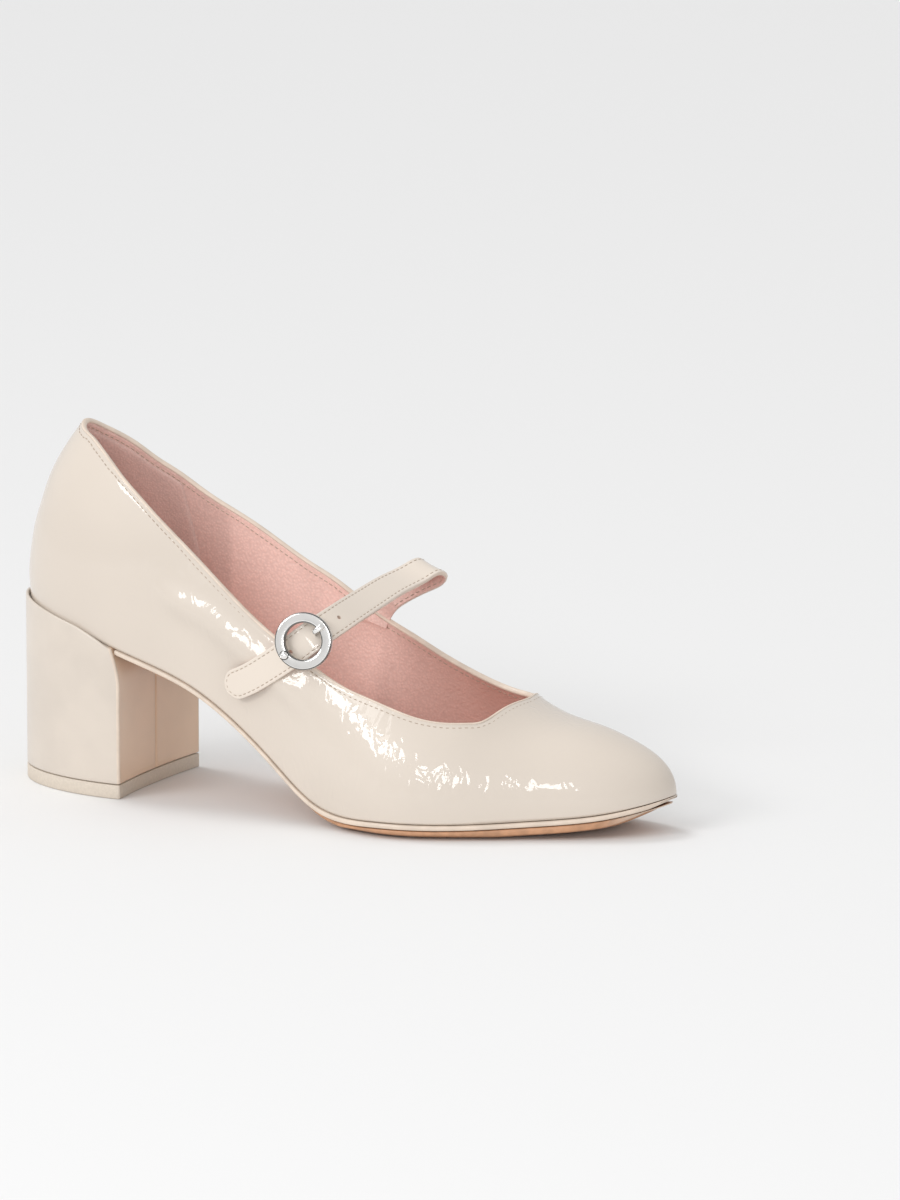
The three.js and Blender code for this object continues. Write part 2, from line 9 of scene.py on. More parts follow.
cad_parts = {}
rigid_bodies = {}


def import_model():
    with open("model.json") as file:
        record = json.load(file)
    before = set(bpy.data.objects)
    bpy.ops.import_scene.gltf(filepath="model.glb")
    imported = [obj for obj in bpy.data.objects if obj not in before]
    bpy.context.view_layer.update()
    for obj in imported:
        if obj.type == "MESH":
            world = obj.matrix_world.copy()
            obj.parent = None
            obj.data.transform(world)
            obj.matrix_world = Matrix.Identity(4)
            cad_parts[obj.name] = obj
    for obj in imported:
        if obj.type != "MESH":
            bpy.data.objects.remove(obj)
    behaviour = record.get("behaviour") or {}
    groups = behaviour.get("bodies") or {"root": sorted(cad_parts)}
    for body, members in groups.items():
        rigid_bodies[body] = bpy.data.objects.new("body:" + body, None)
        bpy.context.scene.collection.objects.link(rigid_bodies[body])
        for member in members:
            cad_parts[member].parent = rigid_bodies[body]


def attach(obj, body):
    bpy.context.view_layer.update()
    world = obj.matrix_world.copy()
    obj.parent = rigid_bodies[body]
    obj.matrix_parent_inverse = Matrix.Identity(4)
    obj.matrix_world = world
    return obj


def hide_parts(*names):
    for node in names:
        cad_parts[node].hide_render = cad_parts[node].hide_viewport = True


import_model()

# Lengths in this file are millimetres, and turn into Blender's metres where a mesh is made. The row's frame
# is kept: +X to the toe, +Y to the inner side of the foot, +Z up, the origin under the middle of the heel.

bl_info = {
    "name": "Mary Jane Pump",
    "version": (1, 0, 0),
    "blender": (4, 5, 0),
    "location": "3D View > Sidebar > Pump",
    "description": "Builds the upper, sole, heel, strap and buckle of a patent pump on its packed frame",
    "category": "Object",
}

MM = 0.001


def table(columns, rows):
    """Columns of numbers by name."""
    return dict(zip(columns, np.array(rows, float).T))


# ---------------------------------------------------------------- the last, as in the part's own source

BACK_X = -21.6
TIP_X = 203.6
MIDDLE_X = (BACK_X + TIP_X) / 2
REACH_X = (TIP_X - BACK_X) / 2
THROAT_X = 153.8
THROAT_LENGTH = 29.0
WALL = 1.8
GAP = 0.3
BACK_CURVE_REACH = 38
EDGE_ROUNDING = 8
RAND_THICK = 1.6
RAND_PROUD = 0.9
RAND_REAR_X = 21.4
OUTSOLE_REAR_X = 22.6
INSOLE_THICK = 1.6
INSOLE_INSET = WALL + 0.6
TOP_PIECE_HEIGHT = 4.6
HEEL_BACK = -23.2
HEEL_MIDDLE = 21
HEEL_HALF = 27.6
HEEL_FRONT = 23.4
HEEL_DENT = 1.4
HEEL_SWEEP_FROM = 38
HEEL_SWEEP = 3

# Looks that the part's source doesn't have. The side seam slants down the inner side from its top, and the
# ridge that bending leaves runs along the outer side; both are given as x and z. Shares run from feather to
# ridge of the last.

SEAM_TOP = (92, 60)
SEAM_SLANT = 0.56
BEND_LINE = [(38, 68), (54, 62.5), (70, 52.5), (92, 40)]
BEND_WIDTH = 3.4
BEND_HEIGHT = 1.9
TROUGH_DEPTH = 0.14
FOLD_HEIGHT = 0.035
FOLDS_X = 78
FOLDS_REACH = 46
GRIP_FOOT = 0.045
GRIP_BELOW_TOPLINE = 0.026
GRIP_THICK = 0.32
GRIP_REACH = 1.04
GRIP_NARROWING = 0.42
RAND_TOE_THINNING = 0.9
RAND_TOE_INSET = 0.7
OUTSOLE_LEAST = 0.4
TOE_LIFT_FROM = 186
TOE_LIFT_REACH = 16
BREAST_CORNER = 0.9
LIP_FRONT = 18
LIP_REACH = 11
HOLES_FROM_RING = (-5.6, 4.2, 13.8)
SEWN_LENGTH = 19
SEWN_SHIFT = 1.6
SEWN_THINNING = 0.66
TOP_EDGE = [(0.12, 0.14), (0.42, 0), (0.8, 0.03), (1.1, 0.1), (1.4, 0.03), (2, 0)]

LAST_COLUMNS = ("x", "outer", "inner", "middle", "feather", "ridge", "square", "belly_out", "belly_in")
LAST_ROWS = [
    (-21.6, 0, 0, 0, 59.6, 76, 2.1, 0, 0),
    (-18, 10.4, 10.4, 0, 58.8, 76, 2.1, 0, 0),
    (-10, 17.8, 17.8, 0, 57.2, 76, 2.1, 0, 0),
    (0, 22.5, 22.5, 0, 55, 75, 2.1, 0.2, 0.2),
    (10, 25, 25, 0, 52.6, 75, 2.1, 0.6, 0.6),
    (20, 25.9, 25.6, 0, 49.5, 76, 2.1, 1.2, 1.4),
    (34, 24.5, 23.2, 0.2, 44.5, 77, 2.1, 2.6, 3.4),
    (48, 23.9, 21, 0.4, 38.8, 78, 2.1, 4, 5.6),
    (63, 24.8, 20, 0.8, 29.9, 77, 2.1, 4.8, 7.4),
    (79, 27.4, 21.4, 1.6, 18.3, 73, 2.1, 4.2, 7),
    (95, 31.8, 25.2, 2.6, 7.6, 68, 2.1, 3, 5),
    (110, 36.4, 30.4, 3.6, 4.6, 59, 2.1, 2, 3),
    (121, 38.6, 33.8, 4.2, 4.9, 52, 2.1, 1.5, 2),
    (131, 37.8, 35.6, 4.8, 5, 46, 2.15, 1.2, 1.4),
    (142, 33.9, 34.6, 5.4, 5, 41.8, 2.2, 1, 1),
    (153, 28.4, 31, 6, 5.3, 34.9, 2.25, 0.9, 0.9),
    (165, 21.9, 26.4, 6.8, 6, 29.2, 2.3, 0.7, 0.7),
    (177, 15.9, 23, 7.8, 6.9, 25.6, 2.3, 0.5, 0.5),
    (187, 10.4, 20.8, 8.8, 8.1, 21, 2.3, 0.4, 0.4),
    (196, 3.6, 17.6, 9.8, 10, 14.6, 2.3, 0.2, 0.2),
    (203.6, -10.4, 10.4, 10.4, 12.2, 0, 2.3, 0, 0),
]
LAST = table(LAST_COLUMNS, LAST_ROWS)

BACK_CURVE = {
    "height": [0, 8, 16, 24, 32, 40, 48, 56, 64, 90],
    "lean": [0, -0.6, 0.05, 1.4, 3.8, 6.6, 10.8, 16.4, 23, 48],
}

TOPLINE_COLUMNS = ("x", "outer", "inner")
TOPLINE_ROWS = [
    (-21.6, 0.55, 0.55),
    (-17.4, 0.54, 0.525),
    (-11, 0.535, 0.5),
    (-3, 0.53, 0.482),
    (6, 0.515, 0.455),
    (14, 0.49, 0.435),
    (25, 0.452, 0.408),
    (35, 0.41, 0.392),
    (45, 0.372, 0.38),
    (55, 0.347, 0.375),
    (67, 0.34, 0.395),
    (75, 0.352, 0.43),
    (84, 0.38, 0.465),
    (95, 0.415, 0.505),
    (105, 0.437, 0.535),
    (115, 0.46, 0.525),
    (122, 0.47, 0.515),
    (130, 0.481, 0.515),
    (140, 0.5, 0.52),
    (146, 0.548, 0.575),
    (150.3, 0.65, 0.68),
    (152.4, 0.82, 0.83),
    (153.8, 1, 1),
]
TOPLINE = table(TOPLINE_COLUMNS, TOPLINE_ROWS[::-1])

TREAD_COLUMNS = ("x", "middle", "edge_rise", "proud")
TREAD_ROWS = [
    (20, 46.3, 0.4, -2.4),
    (34, 41, 0.4, -2.4),
    (48, 35.3, 0.4, -2.4),
    (63, 26.4, 0.4, -2.4),
    (79, 14.9, 0.4, -2.2),
    (87, 8.9, 0.4, -1.8),
    (95, 4, 0.5, -1.2),
    (103, 1, 1, -0.4),
    (112, -0.4, 1.7, 0.3),
    (130, -0.6, 1.8, 0.5),
    (150, -0.4, 1.8, 0.5),
    (165, 0.6, 1.4, 0.5),
    (177, 1.6, 1.2, 0.4),
    (187, 3, 1, 0.1),
    (195, 4.6, 0.8, -0.4),
    (205, 6.9, 0.6, -1.4),
]
TREAD = table(TREAD_COLUMNS, TREAD_ROWS)

# A row of a ribbon's path is x, y, z, the turn of its width about the Y axis in degrees, and its skew: how
# far the front edge runs behind the rear one, as a share of the width. At the fold, from the tenth row to
# the thirteenth, the strap is skewed less than in the part's source and lies up to 0.3 from it.

STRAP_ROWS = [
    (63.2, -28.3, 41.1, 64, 0),
    (71.3, -29.9, 44.6, 63, 0),
    (80.0, -30.9, 49.9, 61, 0),
    (87.4, -31.0, 55.1, 57, 0),
    (93.4, -29.2, 60.1, 52, 0),
    (97.6, -23.6, 63.8, 46, 0),
    (99.8, -13.0, 66.6, 38, 0),
    (101.0, -1.0, 68.7, 31, 0),
    (102.6, 11.0, 70.9, 25, 0),
    (105.2, 21.6, 72.9, 21, 0.1),
    (107.8, 28.2, 73.9, 21, 0.2),
    (107.6, 30.7, 72.2, 24, 0.2),
    (103.6, 29.2, 69.7, 32, 0.1),
    (98.2, 26.0, 66.6, 37, 0),
    (93.8, 22.3, 62.8, 34, 0),
    (91.0, 20.3, 58.2, 30, 0),
    (89.4, 19.9, 53.0, 27, 0),
    (88.4, 20.2, 48.5, 26, 0),
]
CHAPE_ROWS = [
    (86.6, -24.6, 44.5, 40, 0),
    (88.4, -24.5, 49.0, 42, 0),
    (90.3, -24.9, 53.4, 45, 0),
    (92.2, -25.7, 57.4, 47, 0),
    (93.8, -25.4, 60.4, 48, 0),
]


class Curve:
    """A twice-smooth curve through points. Each end is either level or free of bending."""

    def __init__(self, xs, ys, level_start=False, level_end=False):
        self.xs = np.asarray(xs, float)
        self.ys = np.asarray(ys, float)
        count = len(self.xs)
        step = np.diff(self.xs)
        slope = np.diff(self.ys) / step
        matrix = np.eye(count)
        right = np.zeros(count)
        for i in range(1, count - 1):
            matrix[i, i - 1:i + 2] = step[i - 1], 2 * (step[i - 1] + step[i]), step[i]
            right[i] = 6 * (slope[i] - slope[i - 1])
        if level_start:
            matrix[0, :2] = 2 * step[0], step[0]
            right[0] = 6 * slope[0]
        if level_end:
            matrix[-1, -2:] = step[-1], 2 * step[-1]
            right[-1] = -6 * slope[-1]
        self.bend = np.linalg.solve(matrix, right)

    def __call__(self, at):
        at = np.clip(at, self.xs[0], self.xs[-1])
        i = np.clip(np.searchsorted(self.xs, at, side="right") - 1, 0, len(self.xs) - 2)
        width = self.xs[i + 1] - self.xs[i]
        a = (self.xs[i + 1] - at) / width
        b = 1 - a
        curve = ((a**3 - a) * self.bend[i] + (b**3 - b) * self.bend[i + 1]) * width**2 / 6
        return a * self.ys[i] + b * self.ys[i + 1] + curve


def angle_at(x):
    return np.arccos(np.clip((MIDDLE_X - np.asarray(x, float)) / REACH_X, -1, 1))


def x_at(angle):
    return MIDDLE_X - REACH_X * np.cos(angle)


LAST_ANGLES = angle_at(LAST["x"])
OUTLINE_Y = Curve(
    np.concatenate([-LAST_ANGLES[::-1], LAST_ANGLES[1:]]),
    np.concatenate([-LAST["outer"][::-1], LAST["inner"][1:]]),
)
MIDDLE_Y, FEATHER_Z, SQUARENESS, BELLY_OUT, BELLY_IN = [
    Curve(LAST_ANGLES, LAST[name], True, True)
    for name in ("middle", "feather", "square", "belly_out", "belly_in")
]
RIDGE_HEIGHT = Curve(LAST_ANGLES, LAST["ridge"], True, False)
LEAN = Curve(BACK_CURVE["height"], BACK_CURVE["lean"], True)
TOPLINE_REACH = np.sqrt(THROAT_X - TOPLINE["x"])
TOPLINE_OUTER = Curve(TOPLINE_REACH, TOPLINE["outer"])
TOPLINE_INNER = Curve(TOPLINE_REACH, TOPLINE["inner"])
TREAD_MIDDLE, TREAD_RISE, TREAD_PROUD = [
    Curve(TREAD["x"], TREAD[name]) for name in ("middle", "edge_rise", "proud")
]


def feather(x):
    return FEATHER_Z(angle_at(x))


def last_point(angle, share):
    """Points of the last's surface. A negative angle is on the outer side. The share runs from the feather
    line to the ridge."""
    angle, share = np.broadcast_arrays(np.asarray(angle, float), np.asarray(share, float))
    station = np.abs(angle)
    x = x_at(station)
    middle = MIDDLE_Y(station)
    turn = share * np.pi / 2
    power = 2 / SQUARENESS(station)
    height = RIDGE_HEIGHT(station) * np.clip(np.sin(turn), 0, 1) ** power
    reach = np.clip(np.cos(turn), 0, 1) ** power
    belly = np.where(angle < 0, -BELLY_OUT(station), BELLY_IN(station))
    return np.stack(
        [
            x + LEAN(height) * np.exp(-(((x - BACK_X) / BACK_CURVE_REACH) ** 2)),
            middle + (OUTLINE_Y(angle) - middle) * reach + belly * np.sin(2 * turn),
            FEATHER_Z(station) + height,
        ],
        axis=-1,
    )


def unit(vectors):
    length = np.linalg.norm(vectors, axis=-1, keepdims=True)
    return vectors / np.maximum(length, 1e-12)


def side_normal(angle, share):
    """The outward direction on one side of the last, from short steps along and up its surface."""
    step = 0.004
    side = np.where(angle < 0, -1.0, 1.0)
    near = side * np.minimum(np.abs(angle) + step, np.pi)
    far = np.where(np.abs(angle) < step, -near, side * (np.abs(angle) - step))
    along = last_point(near, share) - last_point(far, share)
    up = last_point(angle, np.minimum(share + step, 1)) - last_point(angle, np.maximum(share - step, 0))
    return unit(np.cross(up, along) * side[..., None])


def last_normal(angle, share):
    """The outward direction of the last's surface. On the ridge the two sides share it."""
    angle, share = np.broadcast_arrays(np.asarray(angle, float), np.asarray(share, float))
    normal = side_normal(angle, share)
    near_ridge = np.full_like(share, 0.99)
    ridge = unit(side_normal(angle, near_ridge) + side_normal(-angle, near_ridge))
    normal = np.where((share > 1 - 1e-9)[..., None], ridge, normal)
    tip = np.abs(angle) > np.pi - 1e-6
    return np.where(tip[..., None], np.array([1.0, 0.0, 0.0]), normal)


def topline_share(angle):
    reach = np.sqrt(np.maximum(THROAT_X - x_at(np.abs(angle)), 0))
    return np.where(angle < 0, TOPLINE_OUTER(reach), TOPLINE_INNER(reach))


def outline_point(angle, proud):
    """A point of the feather line in plan, moved outward by a distance."""
    step = 0.01
    dx = REACH_X * np.sin(np.abs(angle)) * np.sign(angle)
    dy = (OUTLINE_Y(angle + step) - OUTLINE_Y(angle - step)) / (2 * step)
    length = np.hypot(dx, dy)
    return np.array([x_at(abs(angle)) - proud * dy / length, OUTLINE_Y(angle) + proud * dx / length])


def eased(x, start, end):
    """A smooth step from 0 at the start to 1 at the end."""
    share = min(max((x - start) / (end - start), 0), 1)
    return share * share * (3 - 2 * share)


def rand_top(x):
    return feather(x) - GAP / 2


def tread_z(x, band):
    rounding = np.clip(1 - band / EDGE_ROUNDING, 0, 1) ** 2
    return np.maximum(TREAD_MIDDLE(x), 0) + TREAD_RISE(x) * rounding


# ---------------------------------------------------------------- meshes


def piece_from(name, points, faces, materials, kinds=None, smooth=True, weld=1e-4):
    """A mesh object from points in millimetres, with doubled points welded and faces turned outward. The kind
    of a face is its material's place in the list."""
    mesh = bpy.data.meshes.new(name)
    mesh.from_pydata((np.asarray(points, float) * MM).tolist(), [], [tuple(int(i) for i in f) for f in faces])
    for material in materials:
        mesh.materials.append(material)
    if kinds is not None:
        mesh.polygons.foreach_set("material_index", np.asarray(kinds, np.int32))
    work = bmesh.new()
    work.from_mesh(mesh)
    bmesh.ops.remove_doubles(work, verts=work.verts, dist=weld * MM)
    bmesh.ops.dissolve_degenerate(work, dist=weld * MM, edges=work.edges)
    bmesh.ops.recalc_face_normals(work, faces=work.faces)
    for face in work.faces:
        face.smooth = smooth
    work.to_mesh(mesh)
    work.free()
    piece = bpy.data.objects.new(name, mesh)
    bpy.context.scene.collection.objects.link(piece)
    return piece


def grid_faces(rows, columns, start=0, turned=False):
    """Quads over a grid of points stored row by row."""
    i, j = np.meshgrid(np.arange(rows - 1), np.arange(columns - 1), indexing="ij")
    a = (start + i * columns + j).ravel()
    corners = [a, a + columns, a + columns + 1, a + 1]
    return np.stack(corners[::-1] if turned else corners, axis=1)


def ring_faces(count, size, caps=True, closed_ring=True, closed_path=False):
    """Faces over rings with one number of points each, and the ring and segment where each quad starts."""
    faces = []
    starts = []
    for i in range(count if closed_path else count - 1):
        after = (i + 1) % count
        for k in range(size if closed_ring else size - 1):
            next_k = (k + 1) % size
            faces.append((i * size + k, i * size + next_k, after * size + next_k, after * size + k))
            starts.append((i, k))
    if caps and closed_ring and not closed_path:
        faces += [tuple(range(size))[::-1], tuple((count - 1) * size + k for k in range(size))]
    return faces, starts


def loft(name, rings, materials, kind=None, caps=True, closed_ring=True, closed_path=False, **options):
    """A skin over rings. The kind is a function of ring and segment."""
    rings = np.asarray(rings, float)
    faces, starts = ring_faces(*rings.shape[:2], caps, closed_ring, closed_path)
    kinds = [kind(i, k) if kind else 0 for i, k in starts]
    kinds += [0] * (len(faces) - len(kinds))
    return piece_from(name, rings.reshape(-1, 3), faces, materials, kinds, **options)


def join_shapes(name, shapes, materials):
    """One mesh from many small closed shapes, each a pair of points and faces."""
    points = []
    faces = []
    offset = 0
    for shape_points, shape_faces in shapes:
        points.append(shape_points)
        faces += [tuple(int(i) + offset for i in face) for face in shape_faces]
        offset += len(shape_points)
    return piece_from(name, np.concatenate(points), faces, materials, weld=1e-5)


def finish_piece(piece, slot, *nodes):
    """Rides a piece on the shoe and hides the frame's nodes that it stands for. Its slot is not used."""
    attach(piece, "root")
    if nodes:
        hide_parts(*nodes)
    return piece


def resample(points, pitch):
    """Positions, directions and source places at an even pitch along a polyline."""
    points = np.asarray(points, float)
    chords = np.linalg.norm(np.diff(points, axis=0), axis=1)
    distance = np.concatenate([[0], np.cumsum(chords)])
    count = max(int(distance[-1] / pitch), 1)
    at = (np.arange(count) + 0.5) * distance[-1] / count
    index = np.interp(at, distance, np.arange(len(points)))

    def places(where):
        return np.stack([np.interp(where, distance, points[:, c]) for c in range(3)], axis=1)

    return places(at), unit(places(at + 0.3) - places(at - 0.3)), index


def stitch_shape(place, along, out, length, radius):
    """One stitch: a short thread that dips at both ends."""
    sides = 6
    steps = 5
    across = unit(np.cross(out, along))
    points = []
    for s in range(steps):
        share = s / (steps - 1) * 2 - 1
        thick = radius * math.sqrt(max(1 - 0.72 * share**4, 0.05))
        middle = place + along * share * length / 2 + out * radius * (0.55 - 1.1 * share**4)
        for k in range(sides):
            turn = 2 * math.pi * k / sides
            points.append(middle + thick * (math.cos(turn) * across + math.sin(turn) * out))
    return np.array(points), ring_faces(steps, sides)[0]


def seam(name, points, outs, sizes, material):
    """A row of stitches along points, standing on the surface whose outward directions are given."""
    shapes = []
    for place, along, at in zip(*resample(points, sizes.stitch_pitch)):
        low = int(at)
        high = min(low + 1, len(outs) - 1)
        out = outs[low] * (1 - at + low) + outs[high] * (at - low)
        out = unit(out - along * out.dot(along))
        shapes.append(stitch_shape(place, along, out, sizes.stitch_length, sizes.thread_radius))
    return join_shapes(name, shapes, [material])


def crease(piece, degrees):
    """Shades a piece smooth, with a crease where its faces meet at more than an angle."""
    piece.data.set_sharp_from_angle(angle=math.radians(degrees))


# ---------------------------------------------------------------- finishes


def linear(colour):
    """A display colour, 0 to 1, as the scene-linear colour that shader sockets take."""
    return tuple(c / 12.92 if c <= 0.04045 else ((c + 0.055) / 1.055) ** 2.4 for c in colour[:3]) + (1.0,)


class Finish:
    """A material and short ways to add nodes to it."""

    def __init__(self, name, roughness, **sockets):
        self.material = bpy.data.materials.new(name)
        self.material.use_nodes = True
        self.nodes = self.material.node_tree.nodes
        self.links = self.material.node_tree.links
        self.shader = self.nodes["Principled BSDF"]
        self.shader.inputs["Roughness"].default_value = roughness
        for socket, value in sockets.items():
            self.shader.inputs[socket.replace("_", " ")].default_value = value
        self.place = self.add("ShaderNodeTexCoord").outputs["Object"]

    def add(self, kind, inputs=None, **settings):
        node = self.nodes.new(kind)
        for name, value in settings.items():
            setattr(node, name, value)
        for name, value in (inputs or {}).items():
            if isinstance(value, bpy.types.NodeSocket):
                self.links.new(value, node.inputs[name])
            else:
                node.inputs[name].default_value = value
        return node

    def noise(self, scale, detail=3.0, roughness=0.5, distortion=0.0, place=None):
        values = {"Scale": scale, "Detail": detail, "Roughness": roughness, "Distortion": distortion}
        values["Vector"] = place or self.place
        return self.add("ShaderNodeTexNoise", values).outputs["Fac"]

    def cells(self, scale, feature="F1"):
        values = {"Scale": scale, "Vector": self.place}
        return self.add("ShaderNodeTexVoronoi", values, feature=feature).outputs["Distance"]

    def stretched(self, x, y, z, turn=(0, 0, 0)):
        values = {"Vector": self.place, "Scale": (x, y, z), "Rotation": turn}
        return self.add("ShaderNodeMapping", values).outputs["Vector"]

    def axis(self, letter):
        return self.add("ShaderNodeSeparateXYZ", {"Vector": self.place}).outputs[letter]

    def ramp(self, value, low, high, to_low=0.0, to_high=1.0):
        values = {"Value": value, "From Min": low, "From Max": high, "To Min": to_low, "To Max": to_high}
        return self.add("ShaderNodeMapRange", values, interpolation_type="SMOOTHSTEP").outputs["Result"]

    def math(self, operation, first, second=0.0):
        return self.add("ShaderNodeMath", {0: first, 1: second}, operation=operation).outputs[0]

    def mix(self, amount, first, second):
        node = self.add("ShaderNodeMix", data_type="RGBA")
        for socket, value in ((node.inputs[0], amount), (node.inputs[6], first), (node.inputs[7], second)):
            if isinstance(value, bpy.types.NodeSocket):
                self.links.new(value, socket)
            else:
                socket.default_value = value
        return node.outputs[2]

    def colour(self, output):
        self.links.new(output, self.shader.inputs["Base Color"])

    def tones(self, amount, colour, low, high):
        """One colour between a darker and a lighter shade of it."""
        return self.mix(amount, shade(colour, low), shade(colour, high))

    def bump(self, height, distance, strength=1.0, under=None, sockets=("Normal",)):
        values = {"Height": height, "Distance": distance * MM, "Strength": strength}
        if under is not None:
            values["Normal"] = under
        normal = self.add("ShaderNodeBump", values).outputs["Normal"]
        for socket in sockets:
            self.links.new(normal, self.shader.inputs[socket])
        return normal


def shade(colour, amount):
    """A colour made lighter or darker by a factor."""
    return linear([min(max(c * amount, 0), 1) for c in colour[:3]])


def patent_finish(name, settings, crinkle, tone=1.0):
    """Coated cream leather. The coat is a mirror; fine crinkles break up what it reflects."""
    finish = Finish(name, 0.42, Coat_Weight=1.0, Coat_Roughness=0.04, Coat_IOR=1.5, Specular_IOR_Level=0.35)
    mottle = finish.ramp(finish.noise(18, 2), 0.3, 0.7)
    cream = finish.tones(mottle, settings.patent, 0.985 * tone, 1.012 * tone)
    if crinkle:
        x = finish.axis("X")
        rear = finish.ramp(x, 0.022, 0.046, 0.12, 1)
        front = finish.ramp(x, 0.15, 0.19, 1, 0.08)
        slanted = finish.stretched(1.3, 1.0, 0.6, (0, math.radians(-38), 0))
        threads = finish.noise(128, 1.5, 0.5, 1.3, slanted)
        ridges = finish.math("ABSOLUTE", finish.math("SUBTRACT", threads, 0.5))
        swells = finish.noise(95, 1, 0.5, 0.4, slanted)
        ridges = finish.math("MULTIPLY", ridges, -2.4)
        height = finish.math("ADD", ridges, finish.math("MULTIPLY", swells, 0.8))
        height = finish.math("MULTIPLY", height, finish.math("MULTIPLY", rear, front))
        crinkled = finish.bump(height, settings.crinkle, 1.0, sockets=())
        seam_x = finish.math("MULTIPLY_ADD", finish.axis("Z"), SEAM_SLANT)
        seam_x.node.inputs[2].default_value = (SEAM_TOP[0] - SEAM_SLANT * SEAM_TOP[1]) * MM
        away = finish.math("ABSOLUTE", finish.math("SUBTRACT", x, seam_x))
        inner_side = finish.ramp(finish.axis("Y"), 0.004, 0.006)
        groove = finish.math("MULTIPLY", finish.ramp(away, 0.00012, 0.0004, 1, 0), inner_side)
        cream = finish.mix(finish.math("MULTIPLY", groove, 0.45), cream, shade(settings.patent, 0.55))
        finish.bump(groove, -0.25, 1.0, crinkled, ("Coat Normal",))
    finish.colour(cream)
    finish.bump(finish.noise(900, 2), 0.02, 0.5)
    return finish.material


def cover_finish(name, colour):
    """Smooth cream leather pulled over the heel, with a low gloss."""
    finish = Finish(name, 0.36, Coat_Weight=0.35, Coat_Roughness=0.22, Specular_IOR_Level=0.4)
    finish.colour(finish.tones(finish.ramp(finish.noise(40, 4), 0.3, 0.7), colour, 0.98, 1.015))
    finish.bump(finish.math("ADD", finish.noise(700, 3), finish.cells(1500)), 0.03, 0.35)
    return finish.material


def edge_finish(settings):
    """Painted leather edge: satin, slightly uneven."""
    finish = Finish("edge_paint", 0.38, Coat_Weight=0.2, Coat_Roughness=0.3)
    finish.colour(finish.tones(finish.ramp(finish.noise(160, 4), 0.3, 0.7), settings.edge, 0.96, 1.02))
    finish.bump(finish.noise(420, 3), 0.06, 0.5)
    return finish.material


def lining_finish(name, colour, suede):
    """Pink lining leather, finely pebbled, or napped where it grips the heel. Soft upright bands of painted
    shade stand for soft folds, and painted shade darkens it toward the toe.
    """
    finish = Finish(name, 0.82 if suede else 0.55, Sheen_Weight=0.25 if suede else 0.05, Sheen_Roughness=0.5)
    pebble = 1500 if suede else 1150
    # Soft random bands, stretched upright, are painted shade for soft folds in the lining.
    painted_fold_shade = finish.noise(26, 2, 0.5, 0.3, finish.stretched(1.6, 1.0, 0.45))
    mottle = finish.ramp(painted_fold_shade, 0.36, 0.62)
    fine = finish.ramp(finish.cells(pebble), 0.05, 0.75, 1, 0)
    tone = finish.math("ADD", finish.math("MULTIPLY", mottle, 0.55), finish.math("MULTIPLY", fine, 0.45))
    grain_and_fold_shade = finish.tones(tone, colour, 0.93, 1.05)
    # Painted shade: toward the toe the colour runs into a darker, warmer copy of it, for the shade inside the
    # toe.
    deep = linear([c * share for c, share in zip(colour, (0.86, 0.78, 0.75))])
    finish.colour(finish.mix(finish.ramp(finish.axis("X"), 0.085, 0.14, 0, 0.9), grain_and_fold_shade, deep))
    grain = finish.cells(pebble, "SMOOTH_F1")
    finish.bump(finish.math("ADD", finish.math("MULTIPLY", grain, -1.0), finish.noise(400, 3)), 0.2, 0.8)
    return finish.material


def sole_finish(name, colour):
    """Tan sole leather: matt, faintly streaked along its length."""
    finish = Finish(name, 0.55, Coat_Weight=0.15, Coat_Roughness=0.4)
    streaked = finish.stretched(0.25, 1.2, 1.2)
    mottle = finish.ramp(finish.noise(170, 5, 0.65, 0.3, streaked), 0.3, 0.7)
    finish.colour(finish.tones(mottle, colour, 0.95, 1.03))
    finish.bump(finish.math("ADD", finish.noise(600, 4, place=streaked), finish.cells(1400)), 0.05, 0.5)
    return finish.material


def rubber_finish(settings):
    """Moulded heel rubber: matt, with a fine speckle."""
    finish = Finish("top_piece_rubber", 0.62, Specular_IOR_Level=0.35)
    speckle = finish.ramp(finish.noise(1200, 2), 0.4, 0.62)
    finish.colour(finish.tones(speckle, settings.top_piece, 0.985, 1.01))
    finish.bump(finish.noise(900, 3), 0.02, 0.4)
    return finish.material


def metal_finish(settings, tone=1.0):
    """Polished buckle metal. A lower tone is painted shade and painted dark reflection, for its recesses and
    sides.
    """
    finish = Finish("buckle_chrome", 0.13, Metallic=1.0)
    haze = finish.ramp(finish.noise(200, 2), 0.35, 0.65)
    finish.colour(finish.tones(haze, settings.metal, 0.99 * tone, 1.01 * tone))
    return finish.material


def thread_finish(settings):
    """Bonded thread, twisted."""
    finish = Finish("thread", 0.55, Sheen_Weight=0.3)
    twist = finish.noise(2500, 1, place=finish.stretched(1.0, 1.0, 1.0, (0.6, 0.6, 0)))
    finish.colour(finish.tones(twist, settings.thread, 0.85, 1.08))
    finish.bump(twist, 0.05, 0.7)
    return finish.material


def elastic_finish(settings):
    """Ribbed elastic: matt yarn with dark gaps."""
    finish = Finish("elastic_yarn", 0.85, Sheen_Weight=0.4)
    yarn = finish.noise(1600, 2, place=finish.stretched(1.0, 1.0, 0.3))
    finish.colour(finish.tones(yarn, settings.elastic, 0.8, 1.08))
    finish.bump(yarn, 0.08, 0.8)
    return finish.material


# ---------------------------------------------------------------- settings


def colour_setting(name, text, default):
    return bpy.props.FloatVectorProperty(
        name=name, description=text, subtype="COLOR_GAMMA", size=3, min=0.0, max=1.0, default=default
    )


def length_setting(name, text, default, low=0.0, high=100.0):
    """A length in millimetres. It has no unit, because Blender would show it as metres."""
    text += ", in mm"
    return bpy.props.FloatProperty(name=name, description=text, default=default, min=low, max=high)


def angle_setting(name, text, degrees):
    default = math.radians(degrees)
    return bpy.props.FloatProperty(name=name, description=text, subtype="ANGLE", default=default)


def light_setting(name, text, default):
    return bpy.props.FloatProperty(name=name, description=text, default=default, min=0.0)


